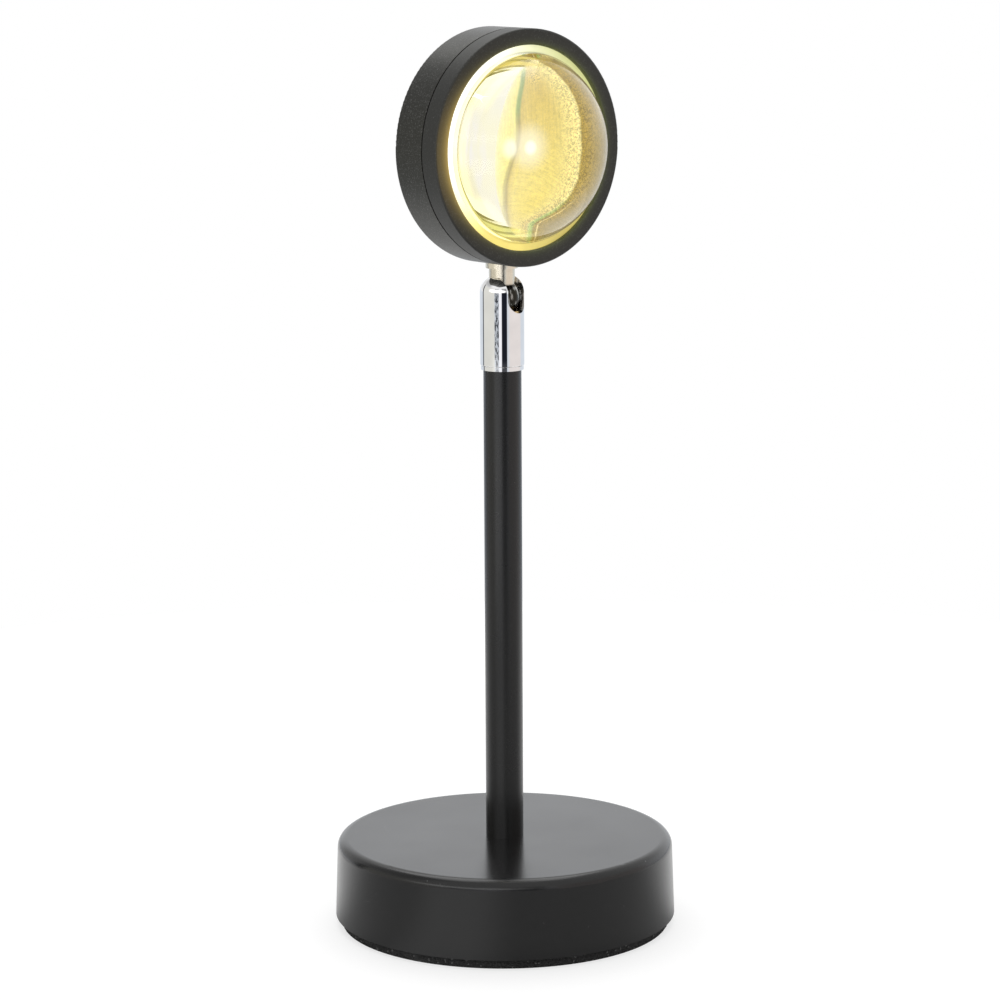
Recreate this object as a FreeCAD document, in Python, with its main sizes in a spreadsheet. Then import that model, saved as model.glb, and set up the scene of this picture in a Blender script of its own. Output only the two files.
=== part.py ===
import FreeCAD, Part
import math
import os
import re
import Sketcher

# A small table lamp: a weighted round base, a tube, a chromed swivel joint and a round head
# with a glass dome over a colour film. The frame's origin is the centre of the base's underside,
# +Z is up and the head looks along -Y at rest. Millimetres.

# how a sketch counts its own axes and the points of an edge
V_AXIS, H_AXIS = range(-2, 0)
START, END, CENTRE = range(1, 4)
SAME_PLACE = 1e-4

doc = FreeCAD.newDocument("SunsetLamp")
sheet = doc.addObject("Spreadsheet::Sheet", "Sizes")
sub_parts = []


# ---------------------------------------------------------------- driving dimensions

DRIVING_SIZES = [
    # base
    ("base_radius", 50.0, "outer radius of the shell at its lower rim"),
    ("base_draft", 0.8, "how much smaller the shell's radius is at the top"),
    ("shell_height", 23.0, "height of the pressed shell"),
    ("shell_wall", 1.0, "sheet thickness of the shell"),
    ("shell_edge_radius", 3.0, "outer rounding of the shell's top edge"),
    ("pad_thickness", 2.9, "foam pad under the base"),
    ("pad_inset", 1.6, "how far the foam pad stays inside the shell's rim"),
    ("weight_clearance", 2.0, "room between the iron weight and the shell's wall"),
    ("weight_thickness", 7.0, "thickness of the weight's disc"),
    ("boss_wall", 4.0, "wall of the boss that carries the weight up to the shell's top"),
    ("wrench_room", 2.5, "room round the nut's corners in the recess"),
    ("nipple_cover", 3.1, "room between the threaded tube's end and the foam pad"),
    ("cable_radius", 1.8, "bore for the supply cable"),
    ("channel_clearance", 0.7, "room on each side of the cable in its channel"),
    ("grommet_height", 4.8, "height of the cable hole above the weight's underside"),
    ("grommet_wall", 1.5, "wall of the grommet's neck"),
    ("grommet_lip", 1.0, "how far the grommet's flanges stand out round its neck"),
    ("grommet_flange", 0.8, "thickness of the grommet's flanges"),
    # fasteners on the centre line
    ("thread_radius", 4.0, "radius of the threaded tube and of the stem's thread"),
    ("thread_gap", 0.03, "radial room in threads and brazed seats"),
    ("wire_bore_radius", 2.5, "bore for the cable in the threaded tube"),
    ("washer_margin", 0.5, "how far the base washer stands out past the nut's corners"),
    ("washer_thickness", 0.8, "thickness of each washer"),
    ("nut_flats", 13.0, "width across flats of the base nut"),
    ("nut_height", 3.6, "height of the base nut"),
    ("nipple_standout", 0.8, "threaded tube below the base nut"),
    ("bolt_clearance", 0.15, "radial room round a threaded piece in a plain hole"),
    # pole
    ("pole_radius", 5.5, "outer radius of the tube"),
    ("pole_wall", 1.0, "wall of the tube"),
    ("pole_length", 138.5, "length of the tube"),
    ("bush_length", 12.0, "length of the threaded bushes in the tube's ends"),
    # swivel joint
    ("collar_inset", 0.18, "how much smaller the ring under the barrel is"),
    ("collar_height", 1.2, "height of that ring"),
    ("barrel_gap", 0.12, "axial running gap between ring and barrel"),
    ("barrel_radius", 6.33, "outer radius of the barrel"),
    ("barrel_length", 25.3, "length of the barrel"),
    ("barrel_shoulder", 2.42, "rounding of the barrel's top edge"),
    ("barrel_wall", 1.13, "wall of the barrel"),
    ("running_gap", 0.08, "radial running clearance in the joint"),
    ("pivot_drop", 5.6, "ball centre below the barrel's top"),
    ("slot_azimuth", 14.0, "turn of the slot from straight ahead, in degrees"),
    ("slot_clearance", 0.15, "room beside the neck in the slot"),
    ("snap_ring_height", 6.0, "snap ring above the collar"),
    ("snap_ring_thickness", 0.6, "thickness of the snap ring"),
    ("snap_ring_grip", 0.8, "depth of the snap ring in the stem"),
    ("snap_ring_reach", 0.4, "reach of the snap ring into the barrel"),
    ("snap_ring_opening", 40.0, "gap of the snap ring, in degrees"),
    ("seat_thickness", 3.9, "thickness of the cup under the ball"),
    ("spring_thickness", 0.5, "sheet thickness of the disc spring"),
    ("spring_rise", 0.7, "cone height of the disc spring"),
    ("stem_bore", 2.0, "bore of the stem for the cable"),
    # neck
    ("neck_radius", 3.7, "radius of the neck"),
    ("neck_length", 9.9, "ball centre to the top of the flange"),
    ("neck_flange_lip", 0.95, "how far the flange under the casing stands out"),
    ("neck_flange_height", 1.6, "height of that flange"),
    ("neck_thread_step", 0.7, "how much smaller the threaded end's radius is"),
    ("neck_thread_standout", 1.35, "threaded end past its nut"),
    ("neck_bore", 1.7, "bore of the neck for the cable"),
    ("split_gap", 0.24, "gap between the two halves of the neck"),
    ("split_azimuth", -34.0, "where the split shows, in degrees from straight ahead"),
    ("neck_nut_flats", 7.8, "width across flats of the neck nut"),
    ("neck_nut_height", 2.6, "height of the neck nut"),
    # head
    ("head_radius", 33.6, "outer radius of the head"),
    ("bezel_depth", 6.3, "front ring, front face to seam"),
    ("casing_depth", 12.1, "rear casing, seam to back"),
    ("seam_gap", 0.12, "gap at the seam"),
    ("seam_chamfer", 0.22, "broken edges beside the seam"),
    ("head_edge_radius", 0.55, "rounding of the head's front and back edges"),
    ("casing_wall", 3.0, "wall of the casing"),
    ("casing_back", 1.8, "back wall of the casing"),
    ("casing_flat", 0.35, "depth of the flat for the neck's flange"),
    ("bezel_wall", 1.6, "wall of the front ring"),
    ("bezel_lip", 1.2, "thickness of the front lip"),
    ("face_width", 4.6, "width of the front lip's face"),
    ("lip_chamfer", 0.35, "broken inner edge of the lip"),
    ("ring_thickness", 1.0, "pale ring behind the lip"),
    ("lens_flange", 1.5, "thickness of the lens's flange"),
    ("ring_show", 2.5, "width of the pale ring that shows round the lens"),
    ("lens_rim_standout", 0.9, "dome rim in front of the front face"),
    ("dome_height", 18.1, "height of the dome"),
    ("optic_gap", 0.05, "room between the stacked optical pieces"),
    ("film_thickness", 0.3, "thickness of the colour film"),
    ("film_clearance", 0.3, "room round the colour film"),
    ("reflector_wall", 0.8, "wall of the reflector cup"),
    ("reflector_rim", 3.3, "width of the reflector's flange under the film"),
    ("reflector_throat", 5.5, "inner radius of the reflector at the board"),
    ("board_clearance", 8.6, "room between the board and the casing's bore"),
    ("board_thickness", 1.4, "thickness of the board"),
    ("thermal_pad_thickness", 1.5, "pad between board and casing, and height of the bosses"),
    ("thermal_pad_margin", 1.9, "room between that pad and the bosses"),
    ("led_radius", 4.5, "radius of the lamp chip's package"),
    ("led_height", 1.0, "height of the package's body"),
    ("led_dome_radius", 2.8, "radius of the package's clear dome"),
    ("screw_inset", 3.5, "distance of the board screws from the board's edge"),
    ("screw_radius", 1.0, "radius of the board screws"),
    ("screw_head_radius", 1.9, "radius of the screw heads"),
    ("screw_head_height", 1.2, "height of the screw heads"),
    ("screw_reach", 0.8, "depth of the screws in the back wall"),
    ("screw_boss_radius", 2.6, "radius of the bosses for the screws"),
    ("resistor_length", 3.2, "length of the board's resistors"),
    ("resistor_width", 1.6, "width of the board's resistors"),
    ("resistor_height", 0.6, "height of the board's resistors"),
    ("resistor_spacing", 3.4, "distance between the board's resistors"),
    ("lead_radius", 0.5, "radius of the leads in the head"),
    ("lead_spacing", 1.6, "distance between the two leads"),
    ("lead_bend", 1.2, "bend radius of the leads"),
]

# what follows from them: heights along the stand, then distances along the head's axis
DERIVED_SIZES = [
    ("pad_radius", "base_radius - pad_inset"),
    ("weight_radius", "base_radius - shell_wall - weight_clearance"),
    ("nut_corner", "nut_flats / 2 / cos(30)"),
    ("washer_radius", "nut_corner + washer_margin"),
    ("recess_radius", "nut_corner + wrench_room"),
    ("boss_radius", "recess_radius + boss_wall"),
    ("recess_depth", "washer_thickness * 2 + nut_height + nipple_standout + nipple_cover"),
    ("shell_top", "pad_thickness + shell_height"),
    ("shell_ceiling", "shell_top - shell_wall"),
    ("boss_ceiling", "pad_thickness + recess_depth"),
    ("cable_height", "pad_thickness + grommet_height"),
    ("lock_washer_top", "boss_ceiling - washer_thickness"),
    ("base_nut_top", "lock_washer_top - washer_thickness"),
    ("nipple_bottom", "base_nut_top - nut_height - nipple_standout"),
    ("pole_bore", "pole_radius - pole_wall"),
    ("pole_top", "shell_top + pole_length"),
    ("collar_top", "pole_top + collar_height"),
    ("barrel_bottom", "collar_top + barrel_gap"),
    ("barrel_top", "barrel_bottom + barrel_length"),
    ("pivot_height", "barrel_top - pivot_drop"),
    ("barrel_bore", "barrel_radius - barrel_wall"),
    ("collar_radius", "barrel_radius - collar_inset"),
    ("slot_half_width", "neck_radius + slot_clearance"),
    ("spigot_radius", "barrel_bore - running_gap"),
    ("ball_radius", "barrel_bore - running_gap"),
    ("seat_top", "pivot_height - slot_half_width - slot_clearance"),
    ("seat_bottom", "seat_top - seat_thickness"),
    ("spring_bottom", "seat_bottom - spring_rise - spring_thickness"),
    ("spigot_top", "spring_bottom - barrel_gap"),
    ("snap_ring_bottom", "collar_top + snap_ring_height"),
    ("snap_ring_inner", "spigot_radius - snap_ring_grip"),
    ("snap_ring_outer", "barrel_bore + snap_ring_reach"),
    ("neck_flange_radius", "neck_radius + neck_flange_lip"),
    ("neck_thread_radius", "neck_radius - neck_thread_step"),
    ("nut_seat", "casing_wall - casing_flat + washer_thickness"),
    ("neck_thread_length", "nut_seat + neck_nut_height + neck_thread_standout"),
    ("head_height", "pivot_height + neck_length + head_radius - casing_flat"),
    ("head_depth", "bezel_depth + casing_depth"),
    ("neck_station", "bezel_depth + casing_depth / 2"),
    ("casing_bore", "head_radius - casing_wall"),
    ("spigot_outer", "head_radius - bezel_wall - thread_gap"),
    ("opening_radius", "head_radius - face_width"),
    ("lens_rim_radius", "opening_radius - ring_show"),
    ("ring_front", "bezel_lip + optic_gap"),
    ("flange_front", "ring_front + ring_thickness"),
    ("lens_back", "flange_front + lens_flange"),
    ("casing_front", "lens_back + optic_gap"),
    ("film_front", "lens_back + optic_gap"),
    ("reflector_front", "film_front + film_thickness + optic_gap"),
    ("film_radius", "casing_bore - film_clearance"),
    ("reflector_mouth", "film_radius - reflector_rim"),
    ("casing_floor", "head_depth - casing_back"),
    ("board_back", "casing_floor - thermal_pad_thickness"),
    ("board_front", "board_back - board_thickness"),
    ("board_radius", "casing_bore - board_clearance"),
    ("screw_circle", "board_radius - screw_inset"),
    ("thermal_pad_radius", "screw_circle - screw_boss_radius - thermal_pad_margin"),
    ("lens_sphere_radius", "(lens_rim_radius ^ 2 + dome_height ^ 2) / (2 * dome_height)"),
    ("lens_centre", "lens_sphere_radius - dome_height - lens_rim_standout"),
]


def fill_sheet():
    """Write every size into the sheet, and name its cell."""
    row = 0
    for alias, number, meaning in DRIVING_SIZES:
        row += 1
        sheet.set(f"A{row}", alias)
        sheet.set(f"B{row}", str(number))
        sheet.set(f"C{row}", meaning)
        sheet.setAlias(f"B{row}", alias)
    for alias, formula in DERIVED_SIZES:
        row += 1
        sheet.set(f"A{row}", alias)
        sheet.set(f"B{row}", f"={formula}")
        sheet.setAlias(f"B{row}", alias)
    doc.recompute()


def bound(formula):
    """Put the sheet's name before each size's alias in a formula."""
    return re.sub(r"[a-z_]+", lambda word: f"Sizes.{word[0]}" if word[0] in ALIASES else word[0], formula)


def value(formula):
    """The number that a formula over the sheet gives now."""
    return float(sheet.evalExpression(bound(formula)))


ALIASES = {row[0] for row in DRIVING_SIZES} | {row[0] for row in DERIVED_SIZES}
fill_sheet()


# ---------------------------------------------------------------- helpers for bodies and sketches

def origin_feature(body, role):
    """One of the body's own origin planes or axes."""
    return next(item for item in body.Origin.OriginFeatures if item.Role == role)


def new_body(label, at_x="0", at_y="0", at_z="0", turn="0"):
    """An empty body at a place that follows the sheet, turned about the vertical."""
    body = doc.addObject("PartDesign::Body", label)
    body.Label = label
    for axis, formula in (("x", at_x), ("y", at_y), ("z", at_z)):
        body.setExpression(f"Placement.Base.{axis}", bound(formula))
    body.Placement.Rotation = FreeCAD.Rotation(FreeCAD.Vector(0, 0, 1), 0)
    body.setExpression("Placement.Rotation.Angle", bound(turn))
    sub_parts.append(body)
    return body


def new_sketch(body, name, plane, offset=None):
    """A sketch on one of the body's origin planes, moved along the plane's normal by offset."""
    sketch = body.newObject("Sketcher::SketchObject", name)
    sketch.AttachmentSupport = (origin_feature(body, plane), [""])
    sketch.MapMode = "FlatFace"
    if offset:
        sketch.setExpression("AttachmentOffset.Base.z", bound(offset))
    return sketch


def place_point(sketch, edge, end, across, up):
    """Hold a point at two formulas; "0" puts it on the axis, and None leaves it to an arc."""
    for formula, kind, axis in ((across, "DistanceX", V_AXIS), (up, "DistanceY", H_AXIS)):
        if formula is None:
            continue
        if formula == "0":
            sketch.addConstraint(Sketcher.Constraint("PointOnObject", edge, end, axis))
            continue
        distance = value(formula)
        held = Sketcher.Constraint(kind, H_AXIS, START, edge, end, distance)
        index = sketch.addConstraint(held)
        sketch.setExpression(f"Constraints[{index}]", bound(formula))


def outline(sketch, corners, arcs=()):
    """A closed outline through corners. arcs maps the number of a corner to (across, up, free):
    the run that leaves it is an arc about that centre, and it sets the next corner's free value."""
    arcs = dict(arcs)
    points = [FreeCAD.Vector(value(across), value(up), 0) for across, up in corners]
    count = len(points)
    freed = {}
    for number in range(count):
        start = points[number]
        end = points[(number + 1) % count]
        if number not in arcs:
            sketch.addGeometry(Part.LineSegment(start, end), False)
            continue
        across, up, free = arcs[number]
        freed[(number + 1) % count] = free
        centre = FreeCAD.Vector(value(across), value(up), 0)
        to_start = math.atan2(start.y - centre.y, start.x - centre.x)
        to_end = math.atan2(end.y - centre.y, end.x - centre.x)
        circle = Part.Circle(centre, FreeCAD.Vector(0, 0, 1), start.distanceToPoint(centre))
        turns_left = math.sin(to_end - to_start) > 0
        first, last = (to_start, to_end) if turns_left else (to_end, to_start)
        sketch.addGeometry(Part.ArcOfCircle(circle, first, last), False)
    leaves = []
    arrives = []
    for number in range(count):
        backwards = False
        if number in arcs:
            start = sketch.getPoint(number, START)
            backwards = start.distanceToPoint(points[number]) > SAME_PLACE
        leaves.append(END if backwards else START)
        arrives.append(START if backwards else END)
    for number in range(count):
        following = (number + 1) % count
        joined = Sketcher.Constraint("Coincident", number, arrives[number], following, leaves[following])
        sketch.addConstraint(joined)
    for number, (across, up) in enumerate(corners):
        free = freed.get(number)
        place_point(sketch, number, leaves[number], None if free == "across" else across,
                    None if free == "up" else up)
    for number, (across, up, free) in arcs.items():
        place_point(sketch, number, CENTRE, across, up)


def circle(sketch, radius, across="0", up="0"):
    """A circle whose radius and centre follow the sheet."""
    centre = FreeCAD.Vector(value(across), value(up), 0)
    edge = sketch.addGeometry(Part.Circle(centre, FreeCAD.Vector(0, 0, 1), value(radius)), False)
    index = sketch.addConstraint(Sketcher.Constraint("Radius", edge, value(radius)))
    sketch.setExpression(f"Constraints[{index}]", bound(radius))
    place_point(sketch, edge, CENTRE, across, up)


def rectangle(sketch, left, bottom, right, top):
    outline(sketch, [(left, bottom), (right, bottom), (right, top), (left, top)])


def revolve(body, name, sketch, axis, kind="PartDesign::Revolution", angle=360.0, backwards=False):
    feature = body.newObject(kind, name)
    feature.Profile = sketch
    feature.ReferenceAxis = (sketch, [axis])
    feature.Angle = angle
    feature.Reversed = backwards
    return feature


def turned(label, corners, arcs=(), **place):
    """A piece turned about the vertical: corners are (radius, height)."""
    body = new_body(label, **place)
    sketch = new_sketch(body, f"{label}_section", "XZ_Plane")
    outline(sketch, corners, arcs)
    revolve(body, f"{label}_turned", sketch, "V_Axis")
    return body


def turned_on_head(label, corners, arcs=()):
    """A piece turned about the head's axis: corners are (distance behind the front, radius)."""
    body = new_body(label, at_y="0 - neck_station", at_z="head_height")
    sketch = new_sketch(body, f"{label}_section", "YZ_Plane")
    outline(sketch, corners, arcs)
    revolve(body, f"{label}_turned", sketch, "H_Axis")
    return body


def pad(body, name, sketch, length, backwards=False):
    feature = body.newObject("PartDesign::Pad", name)
    feature.Profile = sketch
    feature.setExpression("Length", bound(length))
    feature.Reversed = backwards
    return feature


def pocket(body, name, sketch, length, backwards=False, both_ways=False):
    """Cut a sketch out of a body, and make sure that it did cut."""
    doc.recompute()
    before = body.Shape.Volume
    feature = body.newObject("PartDesign::Pocket", name)
    feature.Profile = sketch
    feature.setExpression("Length", bound(length))
    feature.Reversed = backwards
    feature.Midplane = both_ways
    doc.recompute()
    if not body.Shape.Volume < before:
        raise RuntimeError(f"{name} cuts nothing")
    return feature


def circular_edges(body, radius, along, at):
    """Names of the body's round edges of a radius whose centre has the coordinate at on an axis."""
    doc.recompute()
    found = []
    for number, edge in enumerate(body.Tip.Shape.Edges, 1):
        if not isinstance(edge.Curve, Part.Circle):
            continue
        same_radius = abs(edge.Curve.Radius - value(radius)) < SAME_PLACE
        same_place = abs(getattr(edge.Curve.Center, along) - value(at)) < SAME_PLACE
        if same_radius and same_place:
            found.append(f"Edge{number}")
    if not found:
        raise RuntimeError(f"{body.Label} has no round edge of radius {radius} at {at}")
    return found


def dress_edge(body, name, kind, edges, amount):
    """Round or chamfer some edges of the body."""
    base = body.Tip
    feature = body.newObject(f"PartDesign::{kind}", name)
    feature.Base = (base, edges)
    feature.setExpression("Radius" if kind == "Fillet" else "Size", bound(amount))
    return feature


# ---------------------------------------------------------------- base

def make_base_shell():
    """Cup with a slightly tapered wall, a rounded top edge, a centre hole and a cable hole."""
    inner = "base_radius - shell_wall"
    body = turned("base_shell", [
        ("thread_radius + bolt_clearance", "shell_ceiling"),
        (f"{inner} - base_draft", "shell_ceiling"),
        (inner, "pad_thickness"),
        ("base_radius", "pad_thickness"),
        ("base_radius - base_draft", "shell_top"),
        ("thread_radius + bolt_clearance", "shell_top"),
    ])
    top_edge = circular_edges(body, "base_radius - base_draft", "z", "shell_top")
    dress_edge(body, "shell_rounding", "Fillet", top_edge, "shell_edge_radius")
    ceiling_edge = circular_edges(body, f"{inner} - base_draft", "z", "shell_ceiling")
    dress_edge(body, "shell_inner_rounding", "Fillet", ceiling_edge, "shell_edge_radius - shell_wall")
    hole = new_sketch(body, "cable_hole", "XZ_Plane")
    circle(hole, "cable_radius + grommet_wall + optic_gap", "0", "cable_height")
    pocket(body, "cable_hole_cut", hole, "base_radius + shell_wall")
    return body


def make_counterweight():
    """Iron disc with a boss up to the shell's top, a recess for the nut and a cable channel."""
    body = turned("counterweight", [
        ("thread_radius + bolt_clearance", "boss_ceiling"),
        ("recess_radius", "boss_ceiling"),
        ("recess_radius", "pad_thickness"),
        ("weight_radius", "pad_thickness"),
        ("weight_radius", "pad_thickness + weight_thickness"),
        ("boss_radius", "pad_thickness + weight_thickness"),
        ("boss_radius", "shell_ceiling"),
        ("thread_radius + bolt_clearance", "shell_ceiling"),
    ])
    half_width = "cable_radius + channel_clearance"
    channel = new_sketch(body, "cable_channel", "XZ_Plane")
    rectangle(channel, f"0 - {half_width.replace('+', '-')}", "pad_thickness",
              half_width, f"cable_height + {half_width}")
    pocket(body, "cable_channel_cut", channel, "weight_radius + shell_wall")
    return body


def make_foot_pad():
    body = new_body("foot_pad")
    sketch = new_sketch(body, "foot_pad_outline", "XY_Plane")
    circle(sketch, "pad_radius")
    pad(body, "foot_pad_disc", sketch, "pad_thickness")
    return body


def make_cable_grommet():
    """Bush with a flange on each side of the shell's wall; its axis points backwards."""
    neck = "cable_radius + grommet_wall"
    lip = f"{neck} + grommet_lip"
    # the wall leans in with height, so it stands furthest out at the flange's lowest point
    # and furthest in at its highest point and, as it is round, at the flange's sides
    outside = f"base_radius - base_draft * (grommet_height - ({lip})) / shell_height + optic_gap"
    leaning_wall = f"base_draft * (grommet_height + {lip}) / shell_height"
    inside = f"base_radius - shell_wall - {leaning_wall} - ({lip}) ^ 2 / base_radius"
    body = new_body("cable_grommet", at_z="cable_height")
    sketch = new_sketch(body, "cable_grommet_section", "YZ_Plane")
    outline(sketch, [
        (f"{inside} - grommet_flange", "cable_radius"),
        (f"{outside} + grommet_flange", "cable_radius"),
        (f"{outside} + grommet_flange", lip),
        (outside, lip),
        (outside, neck),
        (inside, neck),
        (inside, lip),
        (f"{inside} - grommet_flange", lip),
    ])
    revolve(body, "cable_grommet_turned", sketch, "H_Axis")
    return body


def tube(label, bottom, top, inner, outer):
    """A plain tube about the vertical axis."""
    return turned(label, [(inner, bottom), (outer, bottom), (outer, top), (inner, top)])


def make_pole_and_fasteners():
    tube("base_nipple", "nipple_bottom", "shell_top + bush_length", "wire_bore_radius", "thread_radius")
    tube("base_washer", "lock_washer_top", "boss_ceiling",
         "thread_radius + bolt_clearance", "washer_radius")
    tube("pole_tube", "shell_top", "pole_top", "pole_bore", "pole_radius")
    bush_inner = "thread_radius + thread_gap"
    bush_outer = "pole_bore - thread_gap"
    tube("pole_bush_lower", "shell_top", "shell_top + bush_length", bush_inner, bush_outer)
    tube("pole_bush_upper", "pole_top - bush_length", "pole_top", bush_inner, bush_outer)


def make_lock_washer():
    """Spring washer with the cut that lets it grip."""
    body = tube("base_lock_washer", "base_nut_top", "lock_washer_top",
                "thread_radius + bolt_clearance", "washer_radius - washer_thickness * 2")
    cut = new_sketch(body, "lock_washer_gap", "XZ_Plane")
    rectangle(cut, "0 - washer_thickness / 2", "base_nut_top - washer_thickness",
              "washer_thickness / 2", "lock_washer_top + washer_thickness")
    pocket(body, "lock_washer_gap_cut", cut, "washer_radius")
    return body


def hexagon_nut(label, bottom, height, flats, bore, at_y="0"):
    """A hexagonal prism less its bore, with two flats facing forwards and backwards."""
    prism = doc.addObject("Part::Prism", f"{label}_blank")
    prism.Polygon = 6
    prism.setExpression("Circumradius", bound(f"{flats} / 2 / cos(30)"))
    prism.setExpression("Height", bound(height))
    hole = doc.addObject("Part::Cylinder", f"{label}_bore")
    hole.setExpression("Radius", bound(bore))
    hole.setExpression("Height", bound(height))
    nut = doc.addObject("Part::Cut", label)
    nut.Label = label
    nut.Base = prism
    nut.Tool = hole
    nut.setExpression("Placement.Base.y", bound(at_y))
    nut.setExpression("Placement.Base.z", bound(bottom))
    sub_parts.append(nut)
    return nut


# ---------------------------------------------------------------- swivel joint

def make_joint_stem():
    """Thread, collar and spigot in one turned piece, with a groove for the snap ring."""
    body = turned("joint_stem", [
        ("stem_bore", "pole_top - bush_length"),
        ("thread_radius", "pole_top - bush_length"),
        ("thread_radius", "pole_top"),
        ("collar_radius", "pole_top"),
        ("collar_radius", "collar_top"),
        ("spigot_radius", "collar_top"),
        ("spigot_radius", "spigot_top"),
        ("stem_bore", "spigot_top"),
    ])
    groove = new_sketch(body, "stem_groove", "XZ_Plane")
    rectangle(groove, "snap_ring_inner", "snap_ring_bottom",
              "spigot_radius + running_gap", "snap_ring_bottom + snap_ring_thickness")
    revolve(body, "stem_groove_cut", groove, "V_Axis", "PartDesign::Groove")
    return body


def make_snap_ring():
    """Open ring that sits in the stem's groove and reaches into the barrel's."""
    body = new_body("joint_snap_ring", turn="snap_ring_opening / 2 - 90")
    sketch = new_sketch(body, "snap_ring_section", "XZ_Plane")
    rectangle(sketch, "snap_ring_inner + thread_gap", "snap_ring_bottom",
              "snap_ring_outer", "snap_ring_bottom + snap_ring_thickness")
    ring = revolve(body, "snap_ring_turned", sketch, "V_Axis")
    ring.setExpression("Angle", bound("360 - snap_ring_opening"))
    return body


def make_joint_barrel():
    """Chromed sleeve: plain bore, domed inside round the ball, and the slot for the neck."""
    body = turned("joint_barrel", [
        ("barrel_bore", "barrel_bottom"),
        ("barrel_radius", "barrel_bottom"),
        ("barrel_radius", "barrel_top"),
        ("slot_half_width", "barrel_top"),
        ("slot_half_width", "pivot_height + sqrt(barrel_bore ^ 2 - slot_half_width ^ 2)"),
        ("barrel_bore", "pivot_height"),
    ], {4: ("0", "pivot_height", "across")}, turn="slot_azimuth")
    top_edge = circular_edges(body, "barrel_radius", "z", "barrel_top")
    dress_edge(body, "barrel_shoulder_rounding", "Fillet", top_edge, "barrel_shoulder")
    groove = new_sketch(body, "barrel_groove", "XZ_Plane")
    rectangle(groove, "barrel_bore - running_gap", "snap_ring_bottom - barrel_gap",
              "snap_ring_outer + running_gap",
              "snap_ring_bottom + snap_ring_thickness + barrel_gap")
    revolve(body, "barrel_groove_cut", groove, "V_Axis", "PartDesign::Groove")
    slot = new_sketch(body, "barrel_slot", "XZ_Plane")
    outline(slot, [
        ("slot_half_width", "pivot_height"),
        ("slot_half_width", "barrel_top + slot_clearance"),
        ("0 - slot_half_width", "barrel_top + slot_clearance"),
        ("0 - slot_half_width", "pivot_height"),
        ("0", "pivot_height - slot_half_width"),
    ], {3: ("0", "pivot_height", "up"), 4: ("0", "pivot_height", "across")})
    pocket(body, "barrel_slot_cut", slot, "barrel_radius + slot_clearance", backwards=True)
    return body


def make_ball_seat():
    """Cup that carries the ball: its top is hollowed to the ball's radius."""
    sphere = "ball_radius + running_gap"
    return turned("ball_seat", [
        ("stem_bore", "seat_bottom"),
        ("spigot_radius", "seat_bottom"),
        ("spigot_radius", "seat_top"),
        (f"sqrt(({sphere}) ^ 2 - (pivot_height - seat_top) ^ 2)", "seat_top"),
        ("stem_bore", f"pivot_height - sqrt(({sphere}) ^ 2 - stem_bore ^ 2)"),
    ], {3: ("0", "pivot_height", "up")}, turn="slot_azimuth")


def make_seat_spring():
    """Disc spring: a shallow cone of sheet between stem and seat."""
    inner = "stem_bore + running_gap"
    outer = "spigot_radius - running_gap"
    return turned("seat_spring", [
        (inner, "spring_bottom + spring_rise"),
        (outer, "spring_bottom"),
        (outer, "spring_bottom + spring_thickness"),
        (inner, "seat_bottom"),
    ], turn="slot_azimuth")


# ---------------------------------------------------------------- neck

def make_neck_half(label, turn):
    """Half of ball, neck, flange and threaded end, parted along the bore."""
    ball_top = "sqrt(ball_radius ^ 2 - neck_radius ^ 2)"
    ball_bottom = "sqrt(ball_radius ^ 2 - neck_bore ^ 2)"
    body = new_body(label, at_z="pivot_height", turn=turn)
    sketch = new_sketch(body, f"{label}_section", "XZ_Plane")
    outline(sketch, [
        ("neck_bore", f"0 - {ball_bottom}"),
        ("ball_radius", "0"),
        ("neck_radius", ball_top),
        ("neck_radius", "neck_length - neck_flange_height"),
        ("neck_flange_radius", "neck_length - neck_flange_height"),
        ("neck_flange_radius", "neck_length"),
        ("neck_thread_radius", "neck_length"),
        ("neck_thread_radius", "neck_length + neck_thread_length"),
        ("neck_bore", "neck_length + neck_thread_length"),
    ], {0: ("0", "0", "across"), 1: ("0", "0", "up")})
    revolve(body, f"{label}_turned", sketch, "V_Axis", angle=180.0)
    relief = new_sketch(body, f"{label}_parting", "XZ_Plane")
    rectangle(relief, "0 - neck_flange_radius - split_gap", "0 - ball_radius - split_gap",
              "neck_flange_radius + split_gap", "neck_length + neck_thread_length + split_gap")
    pocket(body, f"{label}_parting_cut", relief, "split_gap", both_ways=True)
    return body


# ---------------------------------------------------------------- head

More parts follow.
